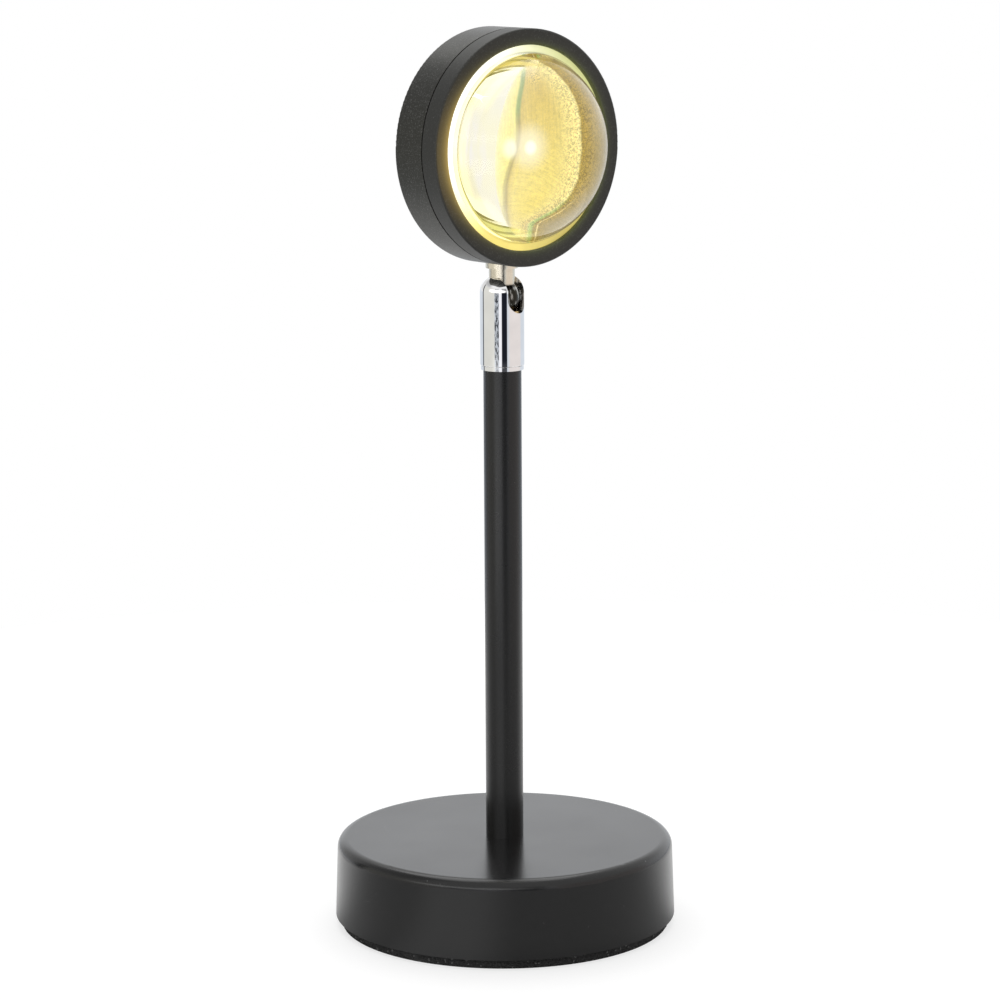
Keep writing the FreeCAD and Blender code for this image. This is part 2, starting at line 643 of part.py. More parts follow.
def make_rear_casing():
    """Cup with a threaded spigot in front, screw bosses inside and seats for the neck."""
    body = turned_on_head("rear_casing", [
        ("casing_front", "casing_bore"),
        ("casing_front", "spigot_outer"),
        ("bezel_depth + seam_gap", "spigot_outer"),
        ("bezel_depth + seam_gap", "head_radius"),
        ("head_depth", "head_radius"),
        ("head_depth", "0"),
        ("casing_floor", "0"),
        ("casing_floor", "casing_bore"),
    ])
    back_edge = circular_edges(body, "head_radius", "y", "head_depth")
    dress_edge(body, "casing_back_rounding", "Fillet", back_edge, "head_edge_radius")
    seam_edge = circular_edges(body, "head_radius", "y", "bezel_depth + seam_gap")
    dress_edge(body, "casing_seam_chamfer", "Chamfer", seam_edge, "seam_chamfer")

    bosses = new_sketch(body, "screw_bosses", "XZ_Plane", "0 - casing_floor")
    circle(bosses, "screw_boss_radius", "screw_circle")
    circle(bosses, "screw_boss_radius", "0 - screw_circle")
    pad(body, "screw_bosses_raised", bosses, "thermal_pad_thickness")
    screws = new_sketch(body, "screw_holes", "XZ_Plane", "0 - casing_floor - screw_reach")
    circle(screws, "screw_radius + thread_gap", "screw_circle")
    circle(screws, "screw_radius + thread_gap", "0 - screw_circle")
    pocket(body, "screw_holes_cut", screws, "thermal_pad_thickness + screw_reach", backwards=True)

    neck_hole = new_sketch(body, "neck_hole", "XY_Plane")
    circle(neck_hole, "neck_thread_radius + bolt_clearance", "0", "neck_station")
    pocket(body, "neck_hole_cut", neck_hole, "head_radius + casing_wall")
    outer_flat = new_sketch(body, "neck_outer_flat", "XY_Plane", "casing_flat - head_radius")
    circle(outer_flat, "neck_flange_radius + bolt_clearance", "0", "neck_station")
    pocket(body, "neck_outer_flat_cut", outer_flat, "casing_flat + casing_wall")
    inner_flat = new_sketch(body, "neck_inner_flat", "XY_Plane", "0 - casing_bore")
    circle(inner_flat, "neck_nut_flats / 2 + bolt_clearance", "0", "neck_station")
    pocket(body, "neck_inner_flat_cut", inner_flat, "casing_wall", backwards=True)
    return body


def make_front_bezel():
    """Ring with the front lip; it screws over the casing's spigot."""
    body = turned_on_head("front_bezel", [
        ("0", "opening_radius"),
        ("0", "head_radius"),
        ("bezel_depth", "head_radius"),
        ("bezel_depth", "head_radius - bezel_wall"),
        ("bezel_lip", "head_radius - bezel_wall"),
        ("bezel_lip", "opening_radius"),
    ])
    front_edge = circular_edges(body, "head_radius", "y", "0")
    dress_edge(body, "bezel_front_rounding", "Fillet", front_edge, "head_edge_radius")
    seam_edge = circular_edges(body, "head_radius", "y", "bezel_depth")
    dress_edge(body, "bezel_seam_chamfer", "Chamfer", seam_edge, "seam_chamfer")
    lip_edge = circular_edges(body, "opening_radius", "y", "0")
    dress_edge(body, "bezel_lip_chamfer", "Chamfer", lip_edge, "lip_chamfer")
    return body


def make_lens():
    """Glass dome on a short cylinder with a flat flange, flat at the back."""
    flange_radius = "spigot_outer - optic_gap"
    body = turned_on_head("lens", [
        ("lens_centre - lens_sphere_radius", "0"),
        ("0 - lens_rim_standout", "lens_rim_radius"),
        ("flange_front", "lens_rim_radius"),
        ("flange_front", flange_radius),
        ("lens_back", flange_radius),
        ("lens_back", "0"),
    ], {0: ("lens_centre", "0", "across")})
    return body


def make_light_ring():
    return turned_on_head("light_ring", [
        ("ring_front", "lens_rim_radius + optic_gap"),
        ("ring_front", "spigot_outer - optic_gap"),
        ("flange_front", "spigot_outer - optic_gap"),
        ("flange_front", "lens_rim_radius + optic_gap"),
    ])


def make_colour_film():
    return turned_on_head("colour_film", [
        ("film_front", "0"),
        ("film_front", "film_radius"),
        ("film_front + film_thickness", "film_radius"),
        ("film_front + film_thickness", "0"),
    ])


def make_reflector_cup():
    """Cone from the chip out to the film, with a flange that carries the film."""
    foot = "board_front - optic_gap"
    return turned_on_head("reflector_cup", [
        ("reflector_front", "reflector_mouth"),
        ("reflector_front", "film_radius"),
        ("reflector_front + reflector_wall", "film_radius"),
        ("reflector_front + reflector_wall", "reflector_mouth + reflector_wall"),
        (foot, "reflector_throat + reflector_wall"),
        (foot, "reflector_throat"),
    ])


def make_led_board():
    """Aluminium board with two screw holes."""
    body = turned_on_head("led_board", [
        ("board_front", "0"),
        ("board_front", "board_radius"),
        ("board_back", "board_radius"),
        ("board_back", "0"),
    ])
    holes = new_sketch(body, "board_holes", "XZ_Plane", "0 - board_front")
    circle(holes, "screw_radius + bolt_clearance", "screw_circle")
    circle(holes, "screw_radius + bolt_clearance", "0 - screw_circle")
    pocket(body, "board_holes_cut", holes, "board_thickness * 4", both_ways=True)
    return body


def make_thermal_pad():
    return turned_on_head("thermal_pad", [
        ("board_back", "0"),
        ("board_back", "thermal_pad_radius"),
        ("casing_floor", "thermal_pad_radius"),
        ("casing_floor", "0"),
    ])


def make_led_package():
    """Round package with a clear dome in its middle."""
    return turned_on_head("led_package", [
        ("board_front", "0"),
        ("board_front", "led_radius"),
        ("board_front - led_height", "led_radius"),
        ("board_front - led_height", "led_dome_radius"),
        ("board_front - led_height - led_dome_radius", "0"),
    ], {3: ("board_front - led_height", "0", "across")})


def make_board_screws():
    """Two pan-head screws, one each side of the chip."""
    screws = []
    for side, sign in (("left", "0 -"), ("right", "0 +")):
        shank = doc.addObject("Part::Cylinder", f"screw_shank_{side}")
        shank.setExpression("Radius", bound("screw_radius"))
        shank.setExpression("Height", bound(
            "screw_reach + thermal_pad_thickness + board_thickness + screw_head_height / 2"))
        head = doc.addObject("Part::Cylinder", f"screw_head_{side}")
        head.setExpression("Radius", bound("screw_head_radius"))
        head.setExpression("Height", bound("screw_head_height"))
        head.setExpression("Placement.Base.z", bound(
            "screw_reach + thermal_pad_thickness + board_thickness"))
        screw = doc.addObject("Part::Fuse", f"screw_{side}")
        screw.Base = shank
        screw.Tool = head
        screw.setExpression("Placement.Base.x", bound(f"{sign} screw_circle"))
        screws.append(screw)
    return grouped_on_head("board_screws", screws, "casing_floor + screw_reach")


def grouped_on_head(label, shapes, station):
    """Several solids as one sub-part, their +Z turned to the head's front, at a station behind it."""
    group = doc.addObject("Part::Compound", label)
    group.Label = label
    group.Links = shapes
    group.Placement.Rotation = FreeCAD.Rotation(FreeCAD.Vector(1, 0, 0), 90)
    group.setExpression("Placement.Base.y", bound(f"{station} - neck_station"))
    group.setExpression("Placement.Base.z", bound("head_height"))
    sub_parts.append(group)
    return group


def make_board_resistors():
    """Two flat resistors beside each other, below the chip."""
    resistors = []
    for side, sign in (("left", "0 -"), ("right", "0 +")):
        block = doc.addObject("Part::Box", f"resistor_{side}")
        block.setExpression("Length", bound("resistor_width"))
        block.setExpression("Width", bound("resistor_length"))
        block.setExpression("Height", bound("resistor_height"))
        block.setExpression("Placement.Base.x", bound(
            f"{sign} resistor_spacing / 2 - resistor_width / 2"))
        block.setExpression("Placement.Base.y", bound(
            "0 - (board_radius + reflector_throat + resistor_length) / 2"))
        resistors.append(block)
    return grouped_on_head("board_resistors", resistors, "board_front")


def make_board_leads():
    """Two leads: up out of the neck's bore, then a quarter bend on to the board's face."""
    start_height = value("pivot_height + neck_length + neck_thread_length / 2")
    board_face = value("board_front - neck_station")
    bend = value("lead_bend")
    pad_height = value("head_height - board_radius") + value("lead_bend") * 2
    leads = []
    for side in (-1, 1):
        across = side * value("lead_spacing") / 2
        foot = FreeCAD.Vector(across, 0, start_height)
        bend_start = FreeCAD.Vector(across, 0, pad_height - bend)
        slant = bend * math.cos(math.pi / 4)
        bend_middle = FreeCAD.Vector(across, bend - slant, pad_height - bend + slant)
        bend_end = FreeCAD.Vector(across, bend, pad_height)
        tip = FreeCAD.Vector(across, board_face, pad_height)
        runs = [
            Part.LineSegment(foot, bend_start).toShape(),
            Part.Arc(bend_start, bend_middle, bend_end).toShape(),
            Part.LineSegment(bend_end, tip).toShape(),
        ]
        section = Part.Wire(Part.Circle(foot, FreeCAD.Vector(0, 0, 1), value("lead_radius")).toShape())
        leads.append(Part.Wire(runs).makePipeShell([section], True, False))
    feature = doc.addObject("Part::Feature", "board_leads")
    feature.Label = "board_leads"
    feature.Shape = Part.makeCompound(leads)
    sub_parts.append(feature)
    return feature


# ---------------------------------------------------------------- assembly

def make_all():
    make_base_shell()
    make_counterweight()
    make_foot_pad()
    make_cable_grommet()
    make_pole_and_fasteners()
    make_lock_washer()
    hexagon_nut("base_nut", "base_nut_top - nut_height", "nut_height", "nut_flats",
                "thread_radius + thread_gap")
    make_joint_stem()
    make_snap_ring()
    make_joint_barrel()
    make_ball_seat()
    make_seat_spring()
    make_neck_half("neck_half_left", "split_azimuth + 90")
    make_neck_half("neck_half_right", "split_azimuth - 90")
    flat_height = "head_height - casing_bore"
    tube("neck_washer", flat_height, f"{flat_height} + washer_thickness",
         "neck_thread_radius + bolt_clearance", "neck_nut_flats / 2")
    hexagon_nut("neck_nut", f"{flat_height} + washer_thickness", "neck_nut_height",
                "neck_nut_flats", "neck_thread_radius + thread_gap")
    make_rear_casing()
    make_front_bezel()
    make_thermal_pad()
    make_led_board()
    make_led_package()
    make_board_resistors()
    make_board_screws()
    make_board_leads()
    make_reflector_cup()
    make_colour_film()
    make_light_ring()
    make_lens()


def check_document():
    """Stop if any object failed, or if a sub-part isn't made of valid solids."""
    doc.recompute()
    for item in doc.Objects:
        if "Invalid" in item.State or "Error" in item.State:
            raise RuntimeError(f"{item.Label} failed: {item.State}")
    for item in sub_parts:
        if item.Shape.isNull() or not item.Shape.isValid() or not item.Shape.Solids:
            raise RuntimeError(f"{item.Label} isn't a valid solid")


def write_parts():
    os.makedirs("parts", exist_ok=True)
    for item in sub_parts:
        item.Shape.exportStep(f"parts/{item.Label}.step")
        box = item.Shape.BoundBox
        print(f"{item.Label}: {len(item.Shape.Solids)} solid, {item.Shape.Volume / 1000:.3f} cm3, "
              f"z {box.ZMin:.2f} to {box.ZMax:.2f}")


make_all()
check_document()
write_parts()
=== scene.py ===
# %% [markdown]
# # A sunset projection lamp
#
# The lamp is a small black drum on a chromed swivel, a slim pole and a heavy round foot.
# A glass dome fills the drum's front. Behind the glass lies a film that colours the light,
# and a pale ring glows all round the dome.
#
# The solid model already has every shape in its right place. This lesson loads that model,
# sets up a camera and a white studio, and then gives each piece the finish of the real one:
# powder coat, chrome, nickel, foam, rubber, glass and light.
# A few pieces, such as the dome, are turned again here in a finer mesh, because glass shows
# every facet of a coarse one.

# %% Load the solid model
import math

import bmesh
import bpy
from mathutils import Matrix, Vector, noise


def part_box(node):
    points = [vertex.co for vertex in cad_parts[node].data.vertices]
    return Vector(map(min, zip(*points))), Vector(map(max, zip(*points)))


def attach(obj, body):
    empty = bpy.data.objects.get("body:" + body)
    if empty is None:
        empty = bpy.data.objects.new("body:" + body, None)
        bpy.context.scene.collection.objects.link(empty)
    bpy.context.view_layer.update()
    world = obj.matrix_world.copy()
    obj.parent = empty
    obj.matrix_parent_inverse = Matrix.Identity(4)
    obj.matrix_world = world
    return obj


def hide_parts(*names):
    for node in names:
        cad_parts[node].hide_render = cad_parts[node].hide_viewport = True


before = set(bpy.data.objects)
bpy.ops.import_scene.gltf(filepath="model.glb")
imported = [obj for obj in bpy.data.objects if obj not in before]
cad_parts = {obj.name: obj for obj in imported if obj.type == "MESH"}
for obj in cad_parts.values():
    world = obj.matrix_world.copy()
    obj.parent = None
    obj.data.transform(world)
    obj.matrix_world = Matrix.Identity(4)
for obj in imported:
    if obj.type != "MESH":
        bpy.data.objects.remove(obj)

scene = bpy.context.scene
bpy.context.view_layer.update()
print("pieces in the solid model:", len(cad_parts))

# %% [markdown]
# ## Sizes that the rest of the lesson uses
#
# Blender works in metres and a lamp maker in millimetres, so one name holds the millimetre.
# The places come from the solid pieces themselves: if the solid model changes,
# the glass and the glow stay where they belong.

# %% Read the places of the head, the dome and the foot
MM = 0.001
MM_PER_METRE = 1000.0

dome_low, dome_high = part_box("lens")
bezel_low, bezel_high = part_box("front_bezel")
pad_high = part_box("foot_pad")[1]

head_height = (dome_low[2] + dome_high[2]) / 2
face_depth = bezel_low[1]
pad_radius = pad_high[0] / MM
print("middle of the head above the table:", round(head_height / MM, 2), "mm")
print("front face of the head:", round(face_depth / MM, 2), "mm")
print("radius of the foam pad:", round(pad_radius, 2), "mm")

# %% [markdown]
# ## Camera
#
# The photograph looks at the lamp from its left, about 39 degrees round, with a long lens
# about a metre away and a little above the head. A long lens keeps the pole's two
# sides nearly parallel. The camera is turned in three small steps: heading, pitch and roll.

# %% Put the camera where the photographer stood
camera_distance = 1012.5 * MM
camera_height = 312.4 * MM
camera_side = math.radians(-39.4)
heading = math.radians(-39.35)
pitch = math.radians(90 - 10.43)
roll = math.radians(-0.31)
lens_length = 127.86

camera_data = bpy.data.cameras.new("photographer")
camera = bpy.data.objects.new("photographer", camera_data)
scene.collection.objects.link(camera)
camera_spot = Vector((
    math.sin(camera_side) * camera_distance,
    -math.cos(camera_side) * camera_distance,
    camera_height,
))
turned = Matrix.Rotation(heading, 4, "Z") @ Matrix.Rotation(pitch, 4, "X")
turned = turned @ Matrix.Rotation(roll, 4, "Z")
camera.matrix_world = Matrix.Translation(camera_spot) @ turned
camera_data.sensor_width = 36
camera_data.lens = lens_length
camera_data.clip_start = 0.05
camera_data.clip_end = 20
scene.camera = camera
print("camera at", [round(v, 3) for v in camera_spot], "with a lens of", lens_length, "mm")

# %% [markdown]
# ## Helpers for building shader trees
#
# Procedural finishes are trees of small nodes. Written out in full, each node takes four or
# five lines, and the idea is lost among them. These helpers add one node, or one small idea
# such as a soft step, start a group, and start a material, and they do nothing else.

# %% A helper that adds one node, and helpers for arithmetic
def add(tree, kind, feeds=None, **settings):
    """Adds a node. feeds maps an input's name or number to a value or to another node's output."""
    made = tree.nodes.new("ShaderNode" + kind)
    for name, setting in settings.items():
        setattr(made, name, setting)
    for key, source in (feeds or {}).items():
        if isinstance(source, bpy.types.NodeSocket):
            tree.links.new(source, made.inputs[key])
        else:
            made.inputs[key].default_value = source
    return made


def sum_of(tree, operation, first, second=0.0, third=None, clamp=False):
    """One step of arithmetic, as a socket."""
    feeds = {0: first, 1: second}
    if third is not None:
        feeds[2] = third
    return add(tree, "Math", feeds, operation=operation, use_clamp=clamp).outputs[0]


def times(tree, first, second):
    """The product of two values."""
    return sum_of(tree, "MULTIPLY", first, second)


def scaled(tree, value, factor, offset):
    """A value times a factor, plus an offset."""
    return sum_of(tree, "MULTIPLY_ADD", value, factor, offset)


def larger(tree, first, second):
    """The larger of two values."""
    return sum_of(tree, "MAXIMUM", first, second)


def gap_from(tree, value, place):
    """How far a value lies from a place, on either side of it."""
    return sum_of(tree, "ABSOLUTE", sum_of(tree, "SUBTRACT", value, place))


def ramp(tree, value, start, end, low=0.0, high=1.0, kind="LINEAR"):
    """low before start, high after end, and an even change between."""
    return add(tree, "MapRange", {
        "Value": value, "From Min": start, "From Max": end, "To Min": low, "To Max": high},
        interpolation_type=kind).outputs[0]


def soft_step(tree, value, start, end):
    """Nought before start, one after end, and smooth between."""
    return ramp(tree, value, start, end, kind="SMOOTHSTEP")


# %% Helpers for colours, places and noise
def grey(level):
    """A neutral colour of one brightness."""
    return (level, level, level, 1.0)


def mixed(tree, share, first, second):
    """Two colours mixed by a share."""
    return add(tree, "Mix", {0: share, 6: first, 7: second}, data_type="RGBA").outputs[2]


def dimmed(tree, colour, level):
    """A colour times a level."""
    return add(tree, "VectorMath", {0: colour, "Scale": level}, operation="SCALE").outputs[0]


def own_place(tree):
    """The point on the piece itself, so that a pattern moves with its piece."""
    return add(tree, "TexCoord").outputs["Object"]


def point(tree, across, up, along=0.0):
    """Three values as one place."""
    return add(tree, "CombineXYZ", {0: across, 1: up, 2: along}).outputs[0]


def distance(tree, place, spot):
    """How far a place is from a spot."""
    return add(tree, "VectorMath", {0: place, 1: spot}, operation="DISTANCE").outputs["Value"]


def stretched(tree, place, factors):
    """A place squeezed or stretched along its three axes."""
    return add(tree, "VectorMath", {0: place, 1: factors}, operation="MULTIPLY").outputs[0]


def noise_at(tree, place, scale, detail=2.0):
    """Soft noise, as a value about one half."""
    return add(tree, "TexNoise", {"Vector": place, "Scale": scale, "Detail": detail}).outputs[0]


# %% Helpers that start a group and a material and feed them
NUMBER = "NodeSocketFloat"


def new_group(name, inputs, outputs):
    """An empty shader group of numbers. inputs maps each name to its starting value."""
    tree = bpy.data.node_groups.new(name, "ShaderNodeTree")
    for socket_name, start in inputs.items():
        socket = tree.interface.new_socket(socket_name, in_out="INPUT", socket_type=NUMBER)
        socket.default_value = start
    for socket_name in outputs:
        tree.interface.new_socket(socket_name, in_out="OUTPUT", socket_type=NUMBER)
    entry = tree.nodes.new("NodeGroupInput")
    result = tree.nodes.new("NodeGroupOutput")
    return tree, entry.outputs, result


def place_group(tree, group, feeds=None):
    """Places a finished group in a material and feeds its inputs. Gives its outputs."""
    return add(tree, "Group", feeds, node_tree=group).outputs


def new_finish(name, **constants):
    """A material with one Principled shader. constants are set on the shader's own sockets."""
    material = bpy.data.materials.new(name)
    material.use_nodes = True
    tree = material.node_tree
    shader = tree.nodes["Principled BSDF"]
    for socket_name, constant in constants.items():
        shader.inputs[socket_name.replace("_", " ")].default_value = constant
    return material, tree, shader


def feed(node, **sources):
    """Links sources to a node's inputs. An underscore stands for a space."""
    for socket_name, source in sources.items():
        node.id_data.links.new(source, node.inputs[socket_name.replace("_", " ")])


def bumped(shader, height, strength, distance_mm):
    """Feeds a shader a bump of so many millimetres."""
    bump = add(shader.id_data, "Bump", {
        "Height": height, "Strength": strength, "Distance": distance_mm * MM})
    feed(shader, Normal=bump.outputs[0])


# %% [markdown]
# ## Groups that several finishes share
#
# Real surfaces are never even. Powder coat has a fine orange peel, handled parts have areas
# that shine more than others, edges lose a little paint, and dust lies on what faces up.
# Each of these effects is a group that is built once, with its own inputs,
# and then placed in each material with other values.

# %% Grain: the fine pebbled skin of powder coat, rubber and cast iron
grain, entry, result = new_group(
    "fine_grain", {"Size in mm": 0.4, "Softness": 0.5}, ("Height", "Speck"))
where = own_place(grain)
per_metre = sum_of(grain, "DIVIDE", MM_PER_METRE, entry["Size in mm"])
pebbles = add(grain, "TexNoise", {
    "Vector": where, "Scale": per_metre, "Detail": 2.0, "Roughness": entry["Softness"]}).outputs[0]
peel = noise_at(grain, where, times(grain, per_metre, 0.3), 1.0)
height = scaled(grain, pebbles, 0.65, times(grain, peel, 0.35))
feed(result, Height=height, Speck=ramp(grain, pebbles, 0.54, 0.72))
print("group:", grain.name)

# %% Handling: wide soft areas where a surface shines a little more or less
handling, entry, result = new_group(
    "handling", {"Size in mm": 30.0, "Lowest": 0.4, "Highest": 0.5}, ("Value",))
per_metre = sum_of(handling, "DIVIDE", MM_PER_METRE, entry["Size in mm"])
clouds = noise_at(handling, own_place(handling), per_metre, 4.0)
feed(result, Value=ramp(handling, clouds, 0.3, 0.7, entry["Lowest"], entry["Highest"]))
print("group:", handling.name)


def uneven(tree, size_mm, lowest, highest):
    """A value that changes slowly over the piece between two limits."""
    return place_group(tree, handling, {
        "Size in mm": size_mm, "Lowest": lowest, "Highest": highest})[0]


# %% Edge wear: where the surface turns within a short distance, it is rubbed
edge_wear, entry, result = new_group(
    "edge_wear", {"Width in mm": 0.4, "Break up": 0.5}, ("Mask",))
width = times(edge_wear, entry["Width in mm"], MM)
rounded = add(edge_wear, "Bevel", {"Radius": width}, samples=4).outputs[0]
straight = add(edge_wear, "NewGeometry").outputs["Normal"]
agree = add(edge_wear, "VectorMath", {0: rounded, 1: straight}, operation="DOT_PRODUCT")
turned_away = sum_of(edge_wear, "SUBTRACT", 1.0, agree.outputs["Value"])
bare = ramp(edge_wear, turned_away, 0.02, 0.2)
patches = noise_at(edge_wear, own_place(edge_wear), 900.0, 3.0)
patchy = ramp(edge_wear, patches, entry["Break up"], 0.75)
feed(result, Mask=times(edge_wear, bare, patchy))
print("group:", edge_wear.name)

# %% Dust: pale specks that lie on what faces up
dust, entry, result = new_group("dust", {"Speck size in mm": 0.5, "Amount": 0.5}, ("Mask",))
per_metre = sum_of(dust, "DIVIDE", MM_PER_METRE, entry["Speck size in mm"])
cells = add(dust, "TexVoronoi", {"Vector": own_place(dust), "Scale": per_metre}).outputs
small = ramp(dust, cells["Distance"], 0.16, 0.05)
chosen = add(dust, "SeparateColor", {0: cells["Color"]}).outputs[0]
few = sum_of(dust, "LESS_THAN", chosen, entry["Amount"])
facing = add(dust, "SeparateXYZ", {0: add(dust, "NewGeometry").outputs["Normal"]}).outputs[2]
upward = ramp(dust, facing, -0.2, 0.7)
feed(result, Mask=times(dust, times(dust, small, few), upward))
print("group:", dust.name)

# %% [markdown]
# ## A dial for the head
#
# The glow on the front ring and the colours on the film are easiest to describe on a clock
# face: so far from the middle, so far across, so far up, so far behind the front face.
# This group turns the place of a point into those four numbers, in millimetres.
# They belong to the piece, so the pattern stays on it when the head tilts.

# %% The head's dial
dial, entry, result = new_group("head_dial", {}, ("Radius", "Across", "Up", "Depth"))
parts = add(dial, "SeparateXYZ", {0: own_place(dial)}).outputs
across = sum_of(dial, "DIVIDE", parts[0], MM)
up = sum_of(dial, "DIVIDE", sum_of(dial, "SUBTRACT", parts[2], head_height), MM)
radius = add(dial, "VectorMath", {0: point(dial, across, up)}, operation="LENGTH")
depth = sum_of(dial, "DIVIDE", sum_of(dial, "SUBTRACT", parts[1], face_depth), MM)
feed(result, Radius=radius.outputs["Value"], Across=across, Up=up, Depth=depth)
print("group:", dial.name)

# %% [markdown]
# ## Powder coat
#
# The foot, the drum and the pole are steel and aluminium with a black powder coat: a
# dry-sprayed plastic that is baked until it flows. It is nearly black by itself. What the eye
# reads as grey is the white studio in its gloss, weak where the surface is seen
# straight on and strong where it is seen along its length. So the colour stays very dark
# and the roughness carries the look. The fine grain goes into the bump and a little
# into the colour. The drum's coat is coarser than the foot's, and its sheen is a little warm.

# %% Powder coat, for the foot, the pole, the drum and its front ring
def powder_coat(name, shade, speck_shade, grain_mm, low, high, bump, sheen=1.0):
    """Black powder coat of one shade, with its own grain and gloss."""
    material, tree, shader = new_finish(name, IOR=1.48, Specular_Tint=(1.0, 1.0, sheen, 1))
    skin = place_group(tree, grain, {"Size in mm": grain_mm})
    wear = place_group(tree, edge_wear, {"Width in mm": 0.35, "Break up": 0.52})
    lint = place_group(tree, dust, {"Speck size in mm": 1.6, "Amount": 0.05})
    base = (shade * 0.8, shade * 0.8, shade * 0.82, 1)
    tint = mixed(tree, skin["Speck"], base, grey(speck_shade))
    tint = mixed(tree, wear["Mask"], tint, grey(0.09))
    tint = mixed(tree, lint["Mask"], tint, grey(0.16))
    feed(shader, Base_Color=tint, Roughness=uneven(tree, 26.0, low, high))
    bumped(shader, skin["Height"], bump, 0.05)
    return material, tree, shader


foot_coat = powder_coat("black_powder_coat_foot", 0.003, 0.012, 0.32, 0.19, 0.25, 0.2)[0]
pole_coat = powder_coat("black_powder_coat_pole", 0.003, 0.012, 0.3, 0.24, 0.3, 0.2)[0]
drum_coat, tree, shader = powder_coat(
    "black_powder_coat_drum", 0.006, 0.075, 0.42, 0.36, 0.42, 1.0, 0.86)
print("powder coats:", foot_coat.name, drum_coat.name, pole_coat.name)

# %% [markdown]
# ## The seam of the drum
#
# The front ring screws over the drum's body, and the two meet in a fine groove. Dirt and
# shadow make it a black line. The groove is modelled, but its broken edges would still
# catch the white room, so the coat loses its gloss there: a metal with a black base
# colour reflects nothing.

# %% A black line at the seam
seam_depth = (bezel_high[1] - bezel_low[1]) / MM
seam_middle = seam_depth + 0.06
seam_reach = 0.26
seam_core = 0.14


def blacken_seam(tree, shader):
    """Takes the gloss off the coat within a hair's breadth of the seam."""
    from_seam = gap_from(tree, place_group(tree, dial)["Depth"], seam_middle)
    line = soft_step(tree, from_seam, seam_reach, seam_core)
    painted = shader.inputs["Base Color"].links[0].from_socket
    feed(shader, Base_Color=mixed(tree, line, painted, grey(0.0)), Metallic=line)


blacken_seam(tree, shader)
print("seam behind the front face:", round(seam_depth, 2), "mm")

# %% [markdown]
# ## The front ring and the light that spills on it
#
# The front ring has the drum's coat, in a lighter shade that is painted light on its front face,
# and with a duller gloss. The glowing ring just inside it throws a warm, olive light across the
# lip, wide on the left and narrow on the right.
# A lamp of that size would need very many samples to light the lip cleanly, so the spill is
# a faint light of the coat itself, measured on the head's dial.

# %% Front ring: powder coat with the spill of light on its lip
# The ring's coat is lighter than the drum's: painted light on its front face.
ring_coat, tree, shader = powder_coat(
    "black_powder_coat_ring", 0.015, 0.035, 0.42, 0.46, 0.52, 0.4, 0.9)
blacken_seam(tree, shader)
opening_radius = 29.0
face_edge = 33.5
clock = place_group(tree, dial)
toward_left = sum_of(tree, "DIVIDE", clock["Across"], -opening_radius)
toward_left = larger(tree, toward_left, 0.0)
left_share = sum_of(tree, "POWER", toward_left, 4.0)
past_lip = sum_of(tree, "SUBTRACT", clock["Radius"], opening_radius + 0.2)
past_lip = larger(tree, past_lip, 0.0)
fall_length = scaled(tree, left_share, 0.5, 0.8)
fading = times(tree, sum_of(tree, "DIVIDE", past_lip, fall_length), -1.0)
spill = sum_of(tree, "EXPONENT", fading)
spill = times(tree, spill, scaled(tree, left_share, 0.42, 0.07))
spill = times(tree, spill, ramp(tree, clock["Radius"], face_edge, face_edge - 0.5))
inner_wall = ramp(tree, clock["Radius"], opening_radius + 0.3, opening_radius + 0.02)
wall_light = ramp(tree, clock["Depth"], 0.0, 1.2, 0.01, 0.05)
spill = larger(tree, spill, times(tree, inner_wall, wall_light))
warm = mixed(tree, toward_left, (0.62, 0.72, 0.16, 1), (0.95, 0.66, 0.16, 1))
feed(shader, Emission_Color=dimmed(tree, warm, spill))
shader.inputs["Emission Strength"].default_value = 1.0
print("front ring:", ring_coat.name)

# %% [markdown]
# ## Chrome, nickel and brass
#
# Bright chrome has hardly any colour or look of its own: it shows the studio. What makes it
# read as a real turned sleeve is the last trace of polishing, a very fine ripple, and soft
# areas where fingers have been. Satin nickel is the same metal idea with a rougher,
# warmer skin that keeps the lines of the lathe. The lines run round the part, so their
# noise is squeezed along the part's axis. The ball at the neck's lower end turns in its
# seat inside the barrel. Below the barrel's top the nickel is painted almost black,
# with lighter mottling: painted shade, where the barrel shades the ball.

# %% Turning lines: rings round an upright part, left by the lathe
turning, entry, result = new_group("turning_lines", {"Pitch in mm": 0.1}, ("Height",))
parts = add(turning, "SeparateXYZ", {0: own_place(turning)}).outputs
per_metre = sum_of(turning, "DIVIDE", MM_PER_METRE, entry["Pitch in mm"])
climb = times(turning, parts[2], per_metre)
squeezed = point(turning, times(turning, parts[0], 60.0), times(turning, parts[1], 60.0), climb)
feed(result, Height=noise_at(turning, squeezed, 1.0, 3.0))
print("group:", turning.name)


